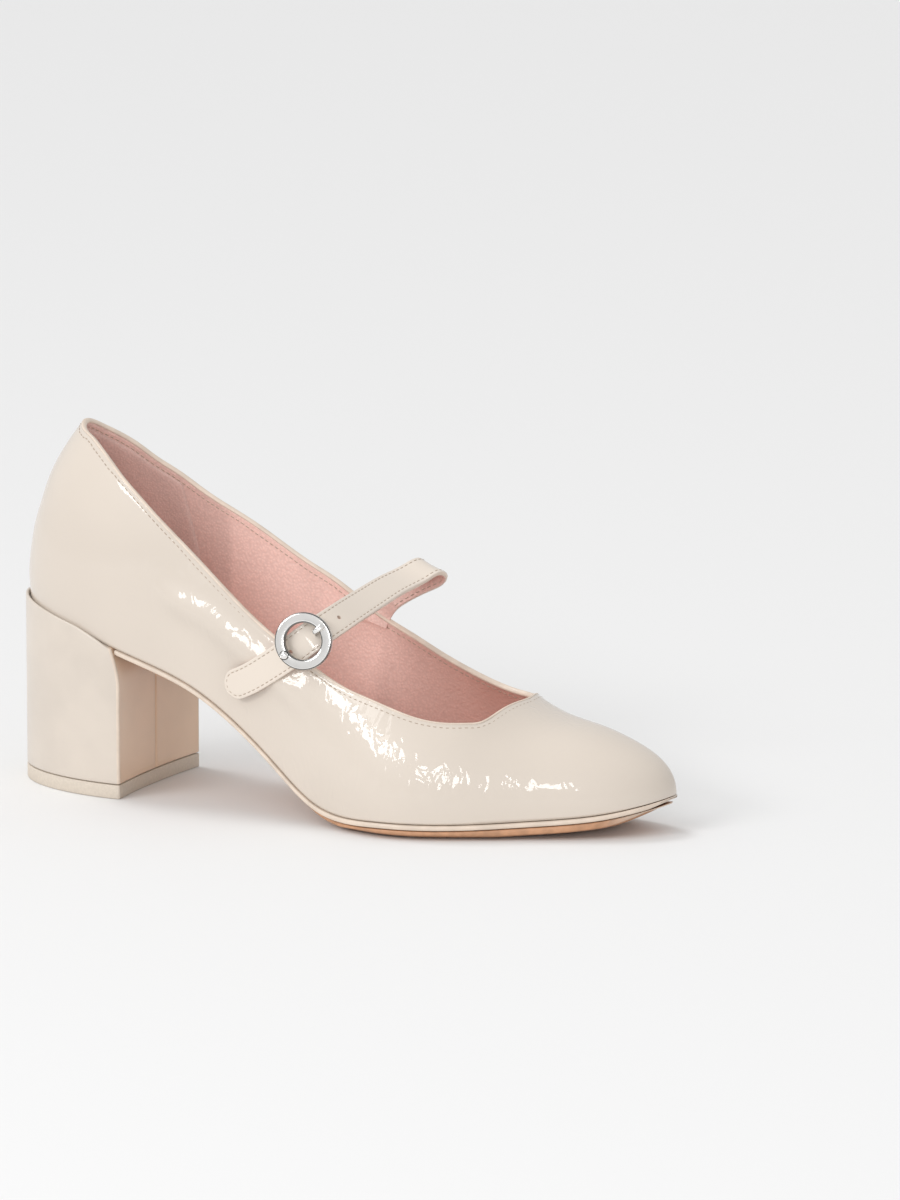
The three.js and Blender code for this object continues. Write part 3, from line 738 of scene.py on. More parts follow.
class PumpColours(bpy.types.PropertyGroup):
    """Colours of the pump, as they show on a display."""

    patent: colour_setting("Patent", "Colour of the coated leather of upper and strap", (0.828, 0.784, 0.736))
    cover: colour_setting("Heel cover", "Colour of the leather over the heel", (0.82, 0.778, 0.732))
    # The breast is the cover's leather; its warmer colour is painted warm shade on the heel's front.
    breast: colour_setting("Heel breast", "Colour of the leather on the heel's front", (0.9, 0.79, 0.69))
    edge: colour_setting("Edges", "Colour of the painted edges and the rand", (0.87, 0.805, 0.74))
    sole: colour_setting("Sole", "Colour of the sole leather", (0.76, 0.57, 0.43))
    top_piece: colour_setting("Top piece", "Colour of the heel's rubber top piece", (0.82, 0.775, 0.72))
    lining: colour_setting("Lining", "Colour of the lining", (0.945, 0.808, 0.768))
    thread: colour_setting("Thread", "Colour of the sewing thread", (0.68, 0.6, 0.52))
    metal: colour_setting("Buckle", "Colour of the buckle's metal", (0.95, 0.945, 0.935))
    elastic: colour_setting("Elastic", "Colour of the elastic that holds the ring", (0.86, 0.8, 0.78))
    crinkle: length_setting("Crinkle", "Height of the patent's crinkles", 0.26, 0.0, 1.0)


class UpperSizes(bpy.types.PropertyGroup):
    """Sizes of the upper's layers, in millimetres."""

    patent_thick: length_setting("Patent thickness", "Thickness of the patent layer", 1.0, 0.4, 1.5)
    edge_height: length_setting("Topline edge", "Height of the rounded topline edge", 0.45, 0.1, 1.5)
    stitch_inset: length_setting("Stitch inset", "Distance from topline to stitches", 1.7, 0.8, 5.0)
    stitch_pitch: length_setting("Stitch pitch", "Distance from stitch to stitch", 2.0, 1.0, 6.0)
    stitch_length: length_setting("Stitch length", "Length of one stitch", 1.5, 0.6, 5.0)
    thread_radius: length_setting("Thread radius", "Radius of the thread", 0.13, 0.05, 0.6)


class StrapSizes(bpy.types.PropertyGroup):
    """Sizes of the strap, in millimetres."""

    width: length_setting("Width", "Width of the strap", 10.0, 4.0, 20.0)
    thick: length_setting("Thickness", "Thickness of the strap", 1.8, 0.8, 4.0)
    backing: length_setting("Backing", "Thickness of the strap's lining", 0.55, 0.2, 1.5)
    tip_radius: length_setting("Tip radius", "Length of the rounded tip", 5.0, 1.0, 10.0)
    hidden_end: length_setting("Hidden end", "Length of the strap's end that stays inside the wall", 7.0)
    hole_radius: length_setting("Hole radius", "Radius of the punched holes", 0.7, 0.2, 2.0)
    stitch_inset: length_setting("Stitch inset", "Distance from edge to stitches", 1.1, 0.5, 4.0)


class BuckleSizes(bpy.types.PropertyGroup):
    """Sizes of the buckle, in millimetres."""

    outer: length_setting("Ring radius", "Outer radius of the ring", 9.2, 4.0, 20.0)
    rim: length_setting("Rim", "Width of the ring's rim", 3.3, 1.0, 8.0)
    depth: length_setting("Depth", "Depth of the ring", 2.6, 0.5, 6.0)
    from_tip: length_setting("Place", "Distance from strap tip to ring centre", 34.6, 10.0, 80.0)
    prong_radius: length_setting("Prong radius", "Radius of the prong", 0.75, 0.3, 2.0)


class SoleSizes(bpy.types.PropertyGroup):
    """Sizes of the sole's shaping, in millimetres."""

    toe_lift: length_setting("Toe lift", "How far the sole's underside rises at the toe tip", 3.8)
    toe_undercut: length_setting("Toe undercut", "How far the sole's underside draws in at the toe", 2.6)


class HeelSizes(bpy.types.PropertyGroup):
    """Sizes of the covered heel, in millimetres."""

    lip_height: length_setting("Lip height", "Height of the cover's lip over the upper", 2.0, 0.0, 4.0)
    lip_thick: length_setting("Lip thickness", "Thickness of the cover's lip", 1.16, 0.3, 1.3)
    breast_groove: length_setting("Breast seam", "Depth of the seam down the breast", 0.5, 0.0, 1.5)


class StageSizes(bpy.types.PropertyGroup):
    """The camera's place and the light."""

    azimuth: angle_setting("Azimuth", "Camera's turn round the shoe", 26.59)
    elevation: angle_setting("Elevation", "Camera's height angle", 11.58)
    distance: bpy.props.FloatProperty(
        name="Distance", description="Camera's distance from the shoe", unit="LENGTH", default=3.0
    )
    key_light: light_setting("Key light", "Strength of the two soft key lights", 1.0)
    bar_light: light_setting("Bar light", "Brightness of the narrow lights that the patent mirrors", 9.0)
    room_light: light_setting("Room light", "Strength of the even light from all round", 0.69)


# ---------------------------------------------------------------- upper


def wall_angles(quarter_steps, throat_steps, vamp_steps):
    """Angles of the wall's columns, from toe tip round the outer side and back, packed near the throat."""
    quarter_end = angle_at(THROAT_X - THROAT_LENGTH)
    throat = angle_at(THROAT_X)
    quarter = quarter_end * np.arange(quarter_steps) / quarter_steps
    front = angle_at(THROAT_X - THROAT_LENGTH * (1 - np.arange(throat_steps) / throat_steps) ** 2)
    vamp = throat + (np.pi - throat) * np.arange(vamp_steps + 1) / vamp_steps
    angles = np.concatenate([quarter, front, vamp])
    return np.concatenate([-angles[:0:-1], angles])


def wall_sheet(angles, rows, depth, relief=None):
    """Points of the upper's wall at a depth under its outer surface, one row of points for each angle."""
    stop = topline_share(angles)[:, None]
    share = stop * np.linspace(0, 1, rows + 1)[None, :]
    grid = np.broadcast_to(angles[:, None], share.shape)
    points = last_point(grid, share)
    lift = np.full(share.shape, -depth)
    if relief:
        lift += relief(grid, share, points)
    moved = points + last_normal(grid, share) * lift[..., None]
    foot = feather(x_at(np.abs(angles))) + GAP / 2
    moved[:, 0, 2] = foot
    tip = np.abs(angles) > np.pi - 1e-6
    moved[tip, :, 2] = foot[tip, None]
    return moved


def wall_shell(name, angles, rows, outer_depth, inner_depth, materials, relief=None):
    """A closed layer of the upper's wall between two depths. Its materials are for outer face, edge and inner
    face."""
    outer = wall_sheet(angles, rows, outer_depth, relief)
    inner = wall_sheet(angles, rows, inner_depth)
    columns = rows + 1
    count = len(angles)
    shift = count * columns
    faces = [grid_faces(count, columns), grid_faces(count, columns, shift, True)]
    kinds = [0] * len(faces[0]) + [2] * len(faces[1])
    i = np.arange(count - 1) * columns
    faces.append(np.stack([i, i + columns, i + columns + shift, i + shift], axis=1)[:, ::-1])
    kinds += [1] * (count - 1)
    throat = angle_at(THROAT_X) + 1e-6
    is_open = np.maximum(np.abs(angles[:-1]), np.abs(angles[1:])) < throat
    top = i[is_open] + rows
    faces.append(np.stack([top, top + columns, top + columns + shift, top + shift], axis=1))
    kinds += [1] * len(top)
    points = np.concatenate([outer.reshape(-1, 3), inner.reshape(-1, 3)])
    return piece_from(name, points, np.concatenate(faces), materials, kinds, weld=2e-3)


def topline_frames():
    """Angles and points along the topline, from the throat round the outer side and back, with the wall's
    outward and upward directions."""
    angles = wall_angles(150, 60, 1)
    angles = angles[np.abs(angles) < angle_at(THROAT_X) + 1e-6]
    share = topline_share(angles)
    edge = last_point(angles, share)
    normal = last_normal(angles, share)
    along = unit(np.roll(edge, -1, axis=0) - np.roll(edge, 1, axis=0))
    along[0] = along[-1] = np.array([0.0, -1.0, 0.0])
    up = unit(np.cross(along, normal))
    up *= np.sign(up[len(up) // 2, 2])
    return angles, edge, normal, up


def along_bend(x, z):
    """How near points are to the soft ridge that the wall's bending leaves on the outer side, 0 to 1."""
    nearest = np.full(np.shape(x), 1e9)
    for (x0, z0), (x1, z1) in zip(BEND_LINE[:-1], BEND_LINE[1:]):
        dx, dz = x1 - x0, z1 - z0
        share = np.clip(((x - x0) * dx + (z - z0) * dz) / (dx**2 + dz**2), 0, 1)
        nearest = np.minimum(nearest, np.hypot(x - x0 - share * dx, z - z0 - share * dz))
    ends = np.clip((x - 34) / 10, 0, 1) * np.clip((96 - x) / 10, 0, 1)
    return ends * np.exp(-((nearest / BEND_WIDTH) ** 2) / 2)


def upper_relief(grid, share, points):
    """Soft wrinkles where the patent bends over the joint, and a shallow trough along the topline seam."""
    x, y, z = points[..., 0], points[..., 1], points[..., 2]
    stop = topline_share(grid)
    climb = share / np.maximum(stop, 1e-6)
    opened = np.abs(grid) < angle_at(THROAT_X - 2)
    trough = TROUGH_DEPTH * np.exp(-(((np.clip(1 - climb, 0, 1) - 0.034) / 0.014) ** 2)) * opened
    waist = np.exp(-(((x - FOLDS_X) / FOLDS_REACH) ** 2)) * np.clip((climb - 0.2) * 3, 0, 1)
    folds = np.sin((x * 0.8 + z * 0.6) * 0.62 + 1.7 * np.sin(z * 0.21 + y * 0.05))
    folds += 0.6 * np.sin(x * 1.31 - z * 0.83 + 2.0)
    bend = along_bend(x, z) * (grid < 0)
    return FOLD_HEIGHT * waist * np.where(grid < 0, 1.0, 0.6) * folds - trough + BEND_HEIGHT * bend


def build_upper(scene):
    colours = scene.pump_colours
    sizes = scene.pump_upper
    patent = patent_finish("patent_cream", colours, True)
    edge = edge_finish(colours)
    lining = lining_finish("lining_leather", colours.lining, False)
    thread = thread_finish(colours)

    fine = wall_angles(150, 44, 64)
    thick = sizes.patent_thick
    shell = wall_shell("upper_patent", fine, 64, 0.0, thick, [patent, edge, lining], upper_relief)
    finish_piece(shell, "patent", "upper")
    coarse = wall_angles(110, 36, 44)
    layer = wall_shell("upper_lining", coarse, 40, thick + 0.04, WALL, [lining, edge, lining])
    finish_piece(layer, "lining")

    section = [(0.06, -0.35), (0.08, 0.12), (-0.12, 0.34), (-0.5, 0.45), (-1.0, 0.47), (-1.45, 0.42)]
    section += [(-1.75, 0.22), (-1.86, -0.1), (-1.86, -0.35)]
    scale = sizes.edge_height / 0.45
    stations = zip(*topline_frames()[1:])
    rings = [[p + n * out + u * rise * scale for out, rise in section] for p, n, u in stations]
    finish_piece(loft("topline_edge", rings, [edge], caps=False), "edge_leather")
    suede = lining_finish("grip_suede", [c * 0.96 for c in colours.lining], True)
    finish_piece(heel_grip(suede), "lining")

    for name, inset, depth, face in (
        ("topline_stitches", sizes.stitch_inset, 0.1, 1.0),
        ("lining_stitches", sizes.stitch_inset + 0.4, WALL + 0.02, -1.0),
    ):
        row, out = inset_line(inset, depth)
        piece = seam(name, row, out * face, sizes, thread)
        finish_piece(piece, "patent" if face > 0 else "lining")


def heel_grip(suede):
    """The napped patch that lies on the lining round the heel."""
    columns, rows = 90, 40
    across = np.linspace(-1, 1, columns + 1)[:, None]
    upward = np.linspace(0, 1, rows + 1)[None, :]
    share = GRIP_FOOT + (0.5 - GRIP_FOOT) * upward
    angle = across * (GRIP_REACH - GRIP_NARROWING * share)
    for _ in range(3):
        stop = topline_share(angle) - GRIP_BELOW_TOPLINE
        share = GRIP_FOOT + (stop - GRIP_FOOT) * upward
        angle = across * (GRIP_REACH - GRIP_NARROWING * share)
    surface = last_point(angle, share)
    normal = last_normal(angle, share)
    edge = np.minimum(np.minimum(1 - np.abs(across), share - GRIP_FOOT) * 14, (stop - share) * 20)
    thick = GRIP_THICK * np.sqrt(np.clip(edge * 4, 0.02, 1))[..., None]
    sheets = [surface - normal * (WALL + 0.03), surface - normal * (WALL + 0.03 + thick)]
    count = (columns + 1) * (rows + 1)
    faces = [grid_faces(columns + 1, rows + 1), grid_faces(columns + 1, rows + 1, count, True)]
    index = np.arange(count).reshape(columns + 1, rows + 1)
    border = np.concatenate([index[:, 0], index[-1, 1:], index[-2::-1, -1], index[0, -2:0:-1]])
    after = np.roll(border, -1)
    faces.append(np.stack([border, after, after + count, border + count], axis=1))
    points = np.concatenate([sheet.reshape(-1, 3) for sheet in sheets])
    return piece_from("heel_grip", points, np.concatenate(faces), [suede])


def inset_line(inset, depth):
    """A line on the wall at one distance below the topline, found by searching the surface near it."""
    angles, edge, _, up = topline_frames()
    found = []
    outs = []
    for point, angle in zip(edge - up * inset, angles):
        around = np.clip(abs(angle) + np.linspace(-0.12, 0.12, 49), 0, np.pi) * (-1 if angle < 0 else 1)
        shares = np.clip(topline_share(angle) + np.linspace(-0.14, 0.05, 39), 0, 1)
        around, shares = np.meshgrid(around, shares, indexing="ij")
        surface = last_point(around, shares)
        miss = ((surface - point) ** 2).sum(-1)
        best = np.unravel_index(np.argmin(miss), miss.shape)
        out = last_normal(around[best], shares[best])
        found.append(surface[best] - out * depth)
        outs.append(out)
    padded = np.pad(np.array(found), ((2, 2), (0, 0)), mode="edge")
    smooth = [np.convolve(padded[:, c], np.ones(5) / 5, "valid") for c in range(3)]
    return np.stack(smooth, 1), np.array(outs)


# ---------------------------------------------------------------- sole


def rand_bottom(x):
    return rand_top(x) - RAND_THICK


def in_from(inset):
    """A distance from the sole's edge that is the same all along."""
    return lambda x: inset


def sole_plate(name, rear_x, proud, profile, kinds, materials, stations=170):
    """A plate that follows the sole. The profile runs from under its middle, round its edge, to its top; each
    entry is a distance from the edge and a height, both functions of x."""
    start = 0.0 if rear_x is None else float(angle_at(rear_x))
    rings = []
    for i in range(stations + 1):
        angle = start + (math.pi - start) * i / stations
        tip = i == stations or angle == 0
        reach = proud(x_at(angle))
        outer = outline_point(-max(angle, 1e-9), reach)
        inner = outer if tip else outline_point(angle, reach)
        if rear_x is not None and i == 0:
            outer[0] = inner[0] = rear_x
        width = np.linalg.norm(inner - outer)
        scale = min(1, width / (2.6 * EDGE_ROUNDING))
        near = float(outer[0])
        if width > 0:
            half = [(min(inset(near) * scale / width, 0.5), height) for inset, height in profile]
        else:
            half = [(0, height) for _, height in profile]
        line = half + [(0.5, profile[-1][1])] + [(1 - share, height) for share, height in half[::-1]]
        line.append((0.5, profile[0][1]))
        plan = [(outer + (inner - outer) * share, height) for share, height in line]
        rings.append([(*spot, float(height(spot[0]))) for spot, height in plan])
    ring_kinds = kinds + [kinds[-1]] * 2 + kinds[::-1] + [kinds[0]] * 2
    return loft(name, rings, materials, lambda i, k: ring_kinds[k])


def sole_edge_finish(settings):
    """The outsole's edge: bare tan leather that the cream edge paint covers round the toe."""
    finish = Finish("sole_edge", 0.45, Coat_Weight=0.25, Coat_Roughness=0.3)
    painted = finish.ramp(finish.axis("X"), 0.186, 0.199)
    tan = finish.tones(finish.ramp(finish.noise(260, 4), 0.3, 0.7), settings.sole, 0.92, 1.06)
    finish.colour(finish.mix(painted, tan, shade(settings.edge, 0.97)))
    finish.bump(finish.noise(700, 3, place=finish.stretched(0.3, 1, 1)), 0.05, 0.5)
    return finish.material


def build_sole(scene):
    colours = scene.pump_colours
    sizes = scene.pump_sole

    def above(level, rise):
        return lambda x: level(x) + rise

    def low(x):
        return rand_bottom(x) + RAND_TOE_THINNING * eased(x, 198, 204.5)

    def rand_proud(x):
        return RAND_PROUD - RAND_TOE_INSET * eased(x, 186, 203)

    bead = [(EDGE_ROUNDING, 0), (0.9, 0), (0.4, 0.04), (0.12, 0.2), (0, 0.5)]
    bead = [(in_from(inset), above(low, rise)) for inset, rise in bead]
    over = [(0, -0.55), (0.1, -0.25), (0.35, -0.06), (0.8, 0), (EDGE_ROUNDING, 0)]
    bead += [(in_from(inset), above(rand_top, rise)) for inset, rise in over]
    rand = sole_plate("rand_bead", RAND_REAR_X, rand_proud, bead, [0] * 9, [edge_finish(colours)])
    finish_piece(rand, "edge_leather", "rand")

    def top(drop):
        return lambda x: rand_bottom(x) - GAP - drop

    def under(band, rise=0.0):
        def height(x):
            spring = sizes.toe_lift * max((x - TOE_LIFT_FROM) / TOE_LIFT_REACH, 0) ** 1.9
            return min(tread_z(x, band) + rise + spring, rand_bottom(x) - GAP - OUTSOLE_LEAST)

        return height

    def rounded(inset):
        return lambda x: inset + sizes.toe_undercut * eased(x, 188, 202)

    layer = [(rounded(band), under(band)) for band in (8, 5.5, 3.6, 2.4, 1.4, 0.7, 0.25)]
    layer += [(rounded(0), under(0, 0.22)), (in_from(0), top(0.3)), (in_from(0.12), top(0.06))]
    layer += [(in_from(0.4), top(0)), (in_from(8), top(0))]
    kinds = [0] * 6 + [1] * 4 + [0]
    materials = [sole_finish("sole_leather", colours.sole), sole_edge_finish(colours)]
    outsole = sole_plate("sole_layer", OUTSOLE_REAR_X, TREAD_PROUD, layer, kinds, materials)
    finish_piece(outsole, "sole_leather", "outsole")


def build_insole(scene):
    def at(rise):
        return lambda x: feather(x) + GAP / 2 + rise

    high = INSOLE_THICK
    profile = [(8, at(0)), (0.1, at(0)), (0, at(0.1)), (0, at(high - 0.6)), (0.18, at(high - 0.22))]
    profile += [(0.6, at(high - 0.03)), (1.2, at(high)), (8, at(high))]
    profile = [(in_from(inset), height) for inset, height in profile]
    lining = lining_finish("sock_leather", scene.pump_colours.lining, False)
    sock = sole_plate("sock", None, in_from(-INSOLE_INSET), profile, [0] * 7, [lining], 150)
    finish_piece(sock, "lining", "insole")


# ---------------------------------------------------------------- heel


def heel_front(z):
    """How far forward the breast stands at a height. It sweeps back under the seat."""
    rise = max(z - HEEL_SWEEP_FROM, 0) / (rand_top(HEEL_MIDDLE) - HEEL_SWEEP_FROM)
    return HEEL_FRONT - HEEL_SWEEP * rise**1.6


def heel_plan(front, inset=0.0, groove=0.0):
    """The heel's outline at one level: from the middle of the breast round the inner side and back to it.
    The groove is the depth of the seam down the middle of the breast."""
    half = []
    edge = HEEL_HALF - inset
    for y in [0, 0.18, 0.36, 0.6, 1.2, *range(3, 22, 3), 23.5, edge - BREAST_CORNER]:
        seam_depth = groove * max(1 - y / 0.5, 0) ** 0.6
        half.append((front - inset - HEEL_DENT * (1 - (y / HEEL_HALF) ** 2) - seam_depth, y))
    for k in range(1, 6):
        turn = k / 6 * math.pi / 2
        corner_x = front - inset - BREAST_CORNER * (1 - math.cos(turn))
        half.append((corner_x, edge - BREAST_CORNER * (1 - math.sin(turn))))
    length = HEEL_MIDDLE - HEEL_BACK
    start = front - inset - BREAST_CORNER
    for k in range(41):
        x = start - (start - HEEL_BACK) * math.sin(k / 40 * math.pi / 2)
        back = max(HEEL_MIDDLE - x, 0) / length
        y = HEEL_HALF * math.sqrt(max(1 - back * back, 0))
        lean = unit(np.array([min(x - HEEL_MIDDLE, 0) / length**2, y / HEEL_HALF**2]))
        half.append((x - inset * lean[0], y - inset * lean[1]))
    half[-1] = (half[-1][0], 0.0)
    return half + [(x, -y) for x, y in half[-2:0:-1]]


# The materials of the plan's segments: the breast, the cover's leather with painted warm shade; its corner,
# in the lighter edge paint as a painted highlight along the lit corner; and the cover round the side to the
# back.

HEEL_KINDS = [1] * 13 + [2] * 6 + [0] * 40
HEEL_KINDS += HEEL_KINDS[::-1]


def build_heel(scene):
    colours = scene.pump_colours
    sizes = scene.pump_heel
    foot = TOP_PIECE_HEIGHT + GAP
    seat_rise = rand_top(HEEL_MIDDLE) - foot
    rings = []
    for share, inset in [(0, 0.4), (0.003, 0.12), (0.01, 0)] + [(s, 0) for s in np.linspace(0.05, 1, 30)]:
        front = heel_front(foot + share * seat_rise)
        plan = heel_plan(front, inset, sizes.breast_groove)
        rings.append([(x, y, foot + share * (rand_top(x) - foot)) for x, y in plan])
    lip_section = [(0, 0.55), (0.05, 0.78), (0.2, 0.95), (0.45, 1)]
    lip_section += [(0.75, 0.98), (1, 0.85), (1.12, 0.6), (1.16, 0)]
    for inset, rise in lip_section:
        plan = heel_plan(heel_front(foot + seat_rise), inset * sizes.lip_thick / lip_section[-1][0])
        line = []
        for x, y in plan:
            lip = sizes.lip_height * float(np.clip((LIP_FRONT - x) / LIP_REACH, 0, 1)) ** 0.7
            line.append((x, y, rand_top(x) + rise * lip))
        rings.append(line)
    cover = cover_finish("heel_cover", colours.cover)
    # The breast's material is the cover's leather in a warmer colour: painted warm shade.
    breast = cover_finish("heel_breast_warm_shade", colours.breast)
    block = loft("heel_cover", rings, [cover, breast, edge_finish(colours)], lambda i, k: HEEL_KINDS[k])
    finish_piece(block, "heel_cover", "heel_block")
    crease(block, 50)

    high = TOP_PIECE_HEIGHT
    levels = [(0, 0.5), (0.12, 0.15), (0.4, 0), (high - 0.3, 0), (high - 0.08, 0.1), (high, 0.35)]
    rings = [[(x, y, z) for x, y in heel_plan(HEEL_FRONT, inset)] for z, inset in levels]
    top_piece = loft("heel_top_piece_rubber", rings, [rubber_finish(colours)])
    finish_piece(top_piece, "top_piece", "heel_top_piece")
    crease(top_piece, 50)


# ---------------------------------------------------------------- strap and elastic


class Ribbon:
    """A ribbon along a path, with a frame at each distance from its start."""

    def __init__(self, rows):
        rows = np.array(rows, float)
        chords = np.linalg.norm(np.diff(rows[:, :3], axis=0), axis=1)
        self.distances = np.concatenate([[0], np.cumsum(chords)])
        self.length = self.distances[-1]
        self.tracks = [Curve(self.distances, rows[:, column]) for column in range(5)]

    def middle(self, distance):
        return np.array([float(track(distance)) for track in self.tracks[:3]])

    def frame(self, distance):
        ahead = self.middle(min(distance + 0.2, self.length))
        along = unit(ahead - self.middle(max(distance - 0.2, 0)))
        turn = math.radians(float(self.tracks[3](distance)))
        across = np.array([math.cos(turn), 0, -math.sin(turn)])
        across = unit(across - along * across.dot(along))
        return self.middle(distance), along, across, np.cross(across, along)

    def section(self, distance, offsets):
        """Points beside the path, each a distance sideways and one outward, sheared along it by the skew."""
        middle, along, across, out = self.frame(distance)
        side = across - along * float(self.tracks[4](distance))
        return [middle + side * sideways + out * outward for sideways, outward in offsets]


STRAP_PATH = Ribbon(STRAP_ROWS)
CHAPE_PATH = Ribbon(CHAPE_ROWS)


def band(name, ribbon, distances, section, kinds, materials):
    """A skin over one cross-section for each distance along a ribbon."""
    rings = [ribbon.section(distance, section(distance)) for distance in distances]
    return loft(name, rings, materials, kinds)


def strap_distances(sizes):
    tip = [sizes.tip_radius * (1 - math.cos((i + 0.35) / 16 * math.pi / 2)) for i in range(16)]
    body = np.linspace(sizes.tip_radius, STRAP_PATH.length - sizes.hidden_end, 170)
    return tip + list(body)


def strap_half(sizes, distance):
    back = max(1 - distance / sizes.tip_radius, 0)
    return sizes.width / 2 * math.sqrt(1 - back * back)


def punched(piece, spots, radius):
    """Cuts round holes through a piece. Each spot is a point and the direction of the punch."""
    cutters = []
    for spot, out in spots:
        bpy.ops.mesh.primitive_cylinder_add(vertices=20, radius=radius * MM, depth=8 * MM)
        cutter = bpy.context.object
        turn = Vector(out).to_track_quat("Z", "Y").to_matrix().to_4x4()
        cutter.matrix_world = Matrix.Translation(Vector(spot) * MM) @ turn
        cut = piece.modifiers.new("hole", "BOOLEAN")
        cut.operation = "DIFFERENCE"
        cut.object = cutter
        cut.solver = "EXACT"
        cutters.append(cutter)
    bpy.context.view_layer.update()
    graph = bpy.context.evaluated_depsgraph_get()
    mesh = bpy.data.meshes.new_from_object(piece.evaluated_get(graph))
    piece.modifiers.clear()
    piece.data = mesh
    for cutter in cutters:
        bpy.data.objects.remove(cutter, do_unlink=True)


def sewn(sizes, distance, outward):
    """Thins the strap's end and moves it outward, into the wall that it is sewn to."""
    start = STRAP_PATH.length - SEWN_LENGTH
    share = eased(distance, start, start + 8)
    face = sizes.thick / 2
    return face + SEWN_SHIFT * share - (face - outward) * (1 - SEWN_THINNING * share)


def build_strap(scene):
    colours = scene.pump_colours
    sizes = scene.pump_strap
    patent = patent_finish("strap_patent", colours, False, 1.06)
    edge = edge_finish(colours)
    lining = lining_finish("strap_lining", colours.lining, False)
    thread = thread_finish(colours)
    face = sizes.thick / 2
    low = sizes.backing - face

    def top_section(distance):
        half = strap_half(sizes, distance)
        cut = min(1, half / 3)
        side = [(half, low + 0.03), (half, face - 0.42)]
        for inset, drop in TOP_EDGE:
            side.append((half - inset * cut, face - drop))
        side += [(0, face)] + [(-across, out) for across, out in side[::-1]]
        return [(across, sewn(sizes, distance, out)) for across, out in side]

    def back_section(distance):
        half = strap_half(sizes, distance) - 0.08
        side = [(half, low), (half, 0.25 - face), (half - min(0.25, half / 3), -face)]
        side = side[::-1] + [(-across, out) for across, out in side]
        return [(across, sewn(sizes, distance, out)) for across, out in side]

    distances = strap_distances(sizes)
    tucked = STRAP_PATH.length - SEWN_LENGTH + 2
    top_kinds = [1] + [0] * 14 + [1, 2]

    def top_kind(i, k):
        return 2 if distances[i] > tucked and top_kinds[k] == 1 else top_kinds[k]

    def back_kind(i, k):
        return 1 if k in (1, 3) and distances[i] < tucked else 0

    top = band("strap_top", STRAP_PATH, distances, top_section, top_kind, [patent, edge, lining])
    back = band("strap_back", STRAP_PATH, distances, back_section, back_kind, [lining, edge])
    holes = [STRAP_PATH.frame(scene.pump_buckle.from_tip + away) for away in HOLES_FROM_RING]
    spots = [(middle, out) for middle, _, _, out in holes]
    for piece in (top, back):
        punched(piece, spots, sizes.hole_radius)
        crease(piece, 40)
    finish_piece(top, "patent", "strap")
    finish_piece(back, "lining")

    reach = sizes.width / 2 - sizes.stitch_inset
    straight = np.arange(tucked, sizes.tip_radius, -0.6)
    line = [(distance, reach) for distance in straight]
    for turn in np.linspace(math.pi / 2, -math.pi / 2, 25):
        line.append((sizes.tip_radius - reach * math.cos(turn), reach * math.sin(turn)))
    line += [(distance, -reach) for distance in straight[::-1]]
    rows = (("strap_stitches", face - 0.12, 1), ("strap_back_stitches", 0.02 - face, -1))
    for name, outward, facing in rows:
        points = [STRAP_PATH.section(away, [(side, sewn(sizes, away, outward))])[0] for away, side in line]
        outs = [STRAP_PATH.frame(away)[3] * facing for away, _ in line]
        row = seam(name, points, outs, scene.pump_upper, thread)
        finish_piece(row, "patent" if facing > 0 else "lining")


def build_elastic(scene):
    elastic = elastic_finish(scene.pump_colours)
    half, thick = 3.9, 1.0
    ribs, rib_steps = 9, 6
    steps = ribs * rib_steps
    face = []
    for k in range(steps + 1):
        swell = abs(math.sin(k / rib_steps * math.pi)) ** 0.7
        face.append((half - 2 * half * k / steps, thick / 2 - 0.2 + 0.18 * swell))
    face += [(-across, -out) for across, out in face]
    distances = np.linspace(0, CHAPE_PATH.length, 40)
    loop = band("elastic_loop", CHAPE_PATH, distances, lambda distance: face, None, [elastic])
    finish_piece(loop, "elastic", "buckle_chape")


# ---------------------------------------------------------------- buckle


def on_ring(scene, points):
    """Stands points on the strap at the ring: X along the strap away from its tip, Z out of its face."""
    middle, along, across, out = STRAP_PATH.frame(scene.pump_buckle.from_tip)
    return middle + np.asarray(points, float) @ np.array([along, -across, out])


def turned(scene, name, profile, segments, lift, materials, kind=None, centre=(0, 0), closed=True):
    """A lathed shape about the ring's axis, or about an axis beside it."""
    rings = []
    for k in range(segments):
        turn = 2 * math.pi * k / segments
        rings.append([(r * math.cos(turn), r * math.sin(turn), z + lift) for r, z in profile])
    rings = on_ring(scene, np.array(rings) + np.array([*centre, 0]))
    return loft(name, rings, materials, kind, closed_ring=closed, closed_path=True)


